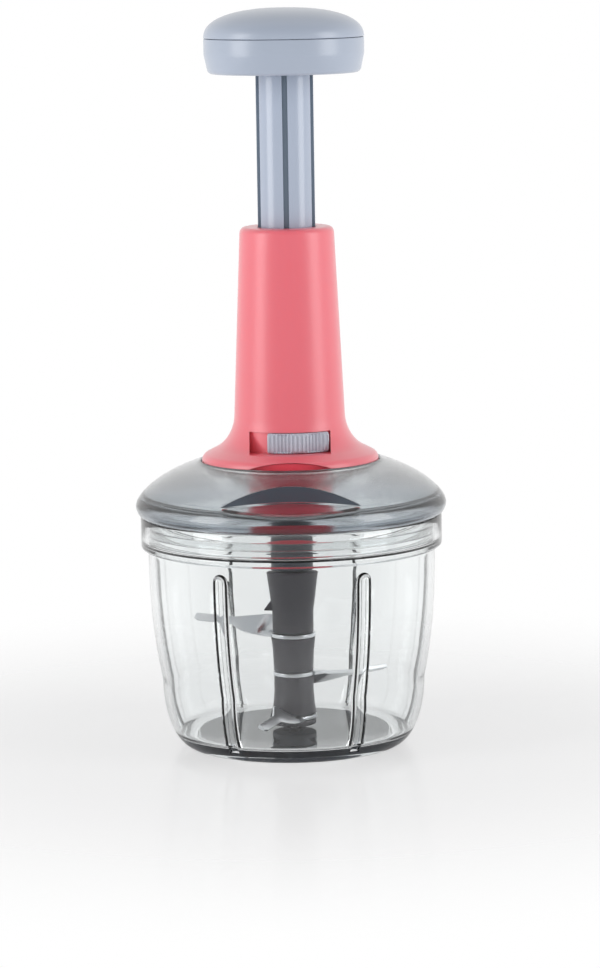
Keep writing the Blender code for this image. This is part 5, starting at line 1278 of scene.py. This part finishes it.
def dress_kept_nodes() -> None:
    """Gives each CAD node whose shape stays its finish."""
    for name, finish in NODE_FINISHES.items():
        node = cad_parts[name]
        for slot in node.material_slots:
            slot.material = material_of(finish)
        LOG.info("%s keeps its shape, in %s", name, finish.name)


@dataclass
class Studio:
    """Floor, world, lamps and the camera at the photograph's viewing angle."""

    camera_place: tuple[float, float, float] = (0.0037, -1.55, 0.3295)
    pitch: float = 8.25
    roll: float = -0.9
    focal_pixels: float = 3919.0
    frame_height: float = 968.0

    def build(self) -> None:
        """Builds the floor, the world, the lamps and the camera."""
        self.build_floor()
        self.build_world()
        self.lamp("left_softbox", (-0.85, -0.4, 0.4), (0.0, 0.0, 0.17), (0.45, 0.8), 3.6)
        self.lamp("right_softbox", (0.88, -0.38, 0.4), (0.0, 0.0, 0.17), (0.45, 0.8), 3.3)
        self.lamp("top_softbox", (0.0, 0.15, 0.95), (0.0, 0.0, 0.1), (0.7, 0.5), 0.2)
        self.build_camera()

    def build_floor(self) -> None:
        """Lays a plain pale floor that shows a white card to the camera and keeps the shadow."""
        mesh = bpy.data.meshes.new("floor")
        mesh.from_pydata([(-4, -3, 0), (4, -3, 0), (4, 7, 0), (-4, 7, 0)], [], [(0, 1, 2, 3)])
        floor = bpy.data.objects.new("floor", mesh)
        bpy.context.scene.collection.objects.link(floor)
        material = bpy.data.materials.new("floor_white_card")
        material.use_nodes = True
        tree = material.node_tree
        shader = tree.nodes["Principled BSDF"]
        shader.inputs["Base Color"].default_value = linear("F8F8F9")
        shader.inputs["Roughness"].default_value = 0.16
        shader.inputs["IOR"].default_value = 1.25
        place = add_node(tree, "ShaderNodeTexCoord").outputs["Object"]
        away = add_node(tree, "ShaderNodeVectorMath", {"operation": "LENGTH"}, links={0: place})
        fade = add_node(
            tree,
            "ShaderNodeMapRange",
            {"interpolation_type": "SMOOTHSTEP"},
            {"From Min": 0.09, "From Max": 0.32},
            {"Value": away.outputs["Value"]},
        )
        clear = add_node(tree, "ShaderNodeBsdfTransparent")
        white = add_node(tree, "ShaderNodeEmission", values={"Color": (1.0, 1.0, 1.0, 1.0), "Strength": 1.0})
        path = add_node(tree, "ShaderNodeLightPath")
        seen = add_node(
            tree,
            "ShaderNodeMath",
            {"operation": "MAXIMUM"},
            links={0: path.outputs["Is Camera Ray"], 1: path.outputs["Is Transmission Ray"]},
        )
        paper = add_node(
            tree, "ShaderNodeMapRange", values={"To Min": 0.0, "To Max": 0.55}, links={"Value": seen.outputs["Value"]}
        )
        lit = add_node(
            tree,
            "ShaderNodeMixShader",
            links={0: paper.outputs["Result"], 1: shader.outputs["BSDF"], 2: white.outputs["Emission"]},
        )
        card = add_node(
            tree,
            "ShaderNodeMixShader",
            links={0: fade.outputs["Result"], 1: lit.outputs["Shader"], 2: clear.outputs["BSDF"]},
        )
        tree.links.new(card.outputs["Shader"], tree.nodes["Material Output"].inputs["Surface"])
        mesh.materials.append(material)

    def build_world(self) -> None:
        """Lights softly from all round, dimmer towards the zenith; to the camera, mirrors and glass it is brighter
        behind the object, and shows white behind it.
        """
        world = bpy.data.worlds.new("studio")
        bpy.context.scene.world = world
        world.use_nodes = True
        tree = world.node_tree
        background = tree.nodes["Background"]
        place = add_node(tree, "ShaderNodeTexCoord").outputs["Generated"]
        split = add_node(tree, "ShaderNodeSeparateXYZ", links={"Vector": place})
        behind = add_node(
            tree,
            "ShaderNodeMapRange",
            values={"From Min": -0.6, "From Max": 0.2, "To Min": 0.25, "To Max": 1.0},
            links={"Value": split.outputs["Y"]},
        )
        above = add_node(
            tree,
            "ShaderNodeMapRange",
            values={"From Min": 0.15, "From Max": 0.9, "To Min": 1.05, "To Max": 0.15},
            links={"Value": split.outputs["Z"]},
        )
        path = add_node(tree, "ShaderNodeLightPath")
        mirrored = add_node(
            tree,
            "ShaderNodeMath",
            {"operation": "MAXIMUM"},
            links={0: path.outputs["Is Glossy Ray"], 1: path.outputs["Is Transmission Ray"]},
        )
        shown = add_node(
            tree,
            "ShaderNodeMath",
            {"operation": "MAXIMUM"},
            links={0: path.outputs["Is Camera Ray"], 1: mirrored.outputs["Value"]},
        )
        unscattered = add_node(
            tree, "ShaderNodeMath", {"operation": "LESS_THAN"}, {1: 0.5}, {0: path.outputs["Diffuse Depth"]}
        )
        direct = add_node(
            tree,
            "ShaderNodeMath",
            {"operation": "MULTIPLY"},
            links={0: shown.outputs["Value"], 1: unscattered.outputs["Value"]},
        )
        strength = add_node(
            tree,
            "ShaderNodeMix",
            links={0: direct.outputs["Value"], 2: above.outputs["Result"], 3: behind.outputs["Result"]},
        )
        background.inputs["Color"].default_value = (1.0, 1.0, 1.0, 1.0)
        tree.links.new(strength.outputs[0], background.inputs["Strength"])

    def lamp(
        self, name: str, place: tuple[float, float, float], target: tuple[float, float, float], size: Point, power: float
    ) -> None:
        """Hangs one soft box and turns it to its target."""
        data = bpy.data.lights.new(name, "AREA")
        data.shape = "RECTANGLE"
        data.size, data.size_y = size
        data.energy = power
        lamp = bpy.data.objects.new(name, data)
        bpy.context.scene.collection.objects.link(lamp)
        lamp.location = place
        lamp.rotation_euler = (Vector(target) - Vector(place)).to_track_quat("-Z", "Y").to_euler()

    def build_camera(self) -> None:
        """Sets the camera that was fitted to the photograph."""
        data = bpy.data.cameras.new("camera")
        data.sensor_fit = "VERTICAL"
        data.sensor_height = 36.0
        data.lens = self.focal_pixels / self.frame_height * data.sensor_height
        camera = bpy.data.objects.new("camera", data)
        bpy.context.scene.collection.objects.link(camera)
        camera.location = self.camera_place
        level = Matrix.Rotation(math.radians(90 - self.pitch), 4, "X")
        camera.rotation_euler = (level @ Matrix.Rotation(math.radians(self.roll), 4, "Z")).to_euler()
        bpy.context.scene.camera = camera


def main() -> None:
    """Builds the parts in order."""
    logging.basicConfig(level=logging.INFO, format="%(message)s")
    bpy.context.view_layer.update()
    for part in (Studio(), Bowl(), Rotor(), Coupling(), Lid(), Handle(), Lock(), Plunger()):
        part.build()
        LOG.info("%s is built", type(part).__name__)
    dress_kept_nodes()
    bpy.context.scene.view_settings.view_transform = "Standard"
    bpy.context.view_layer.update()


if __name__ == "__main__":
    main()
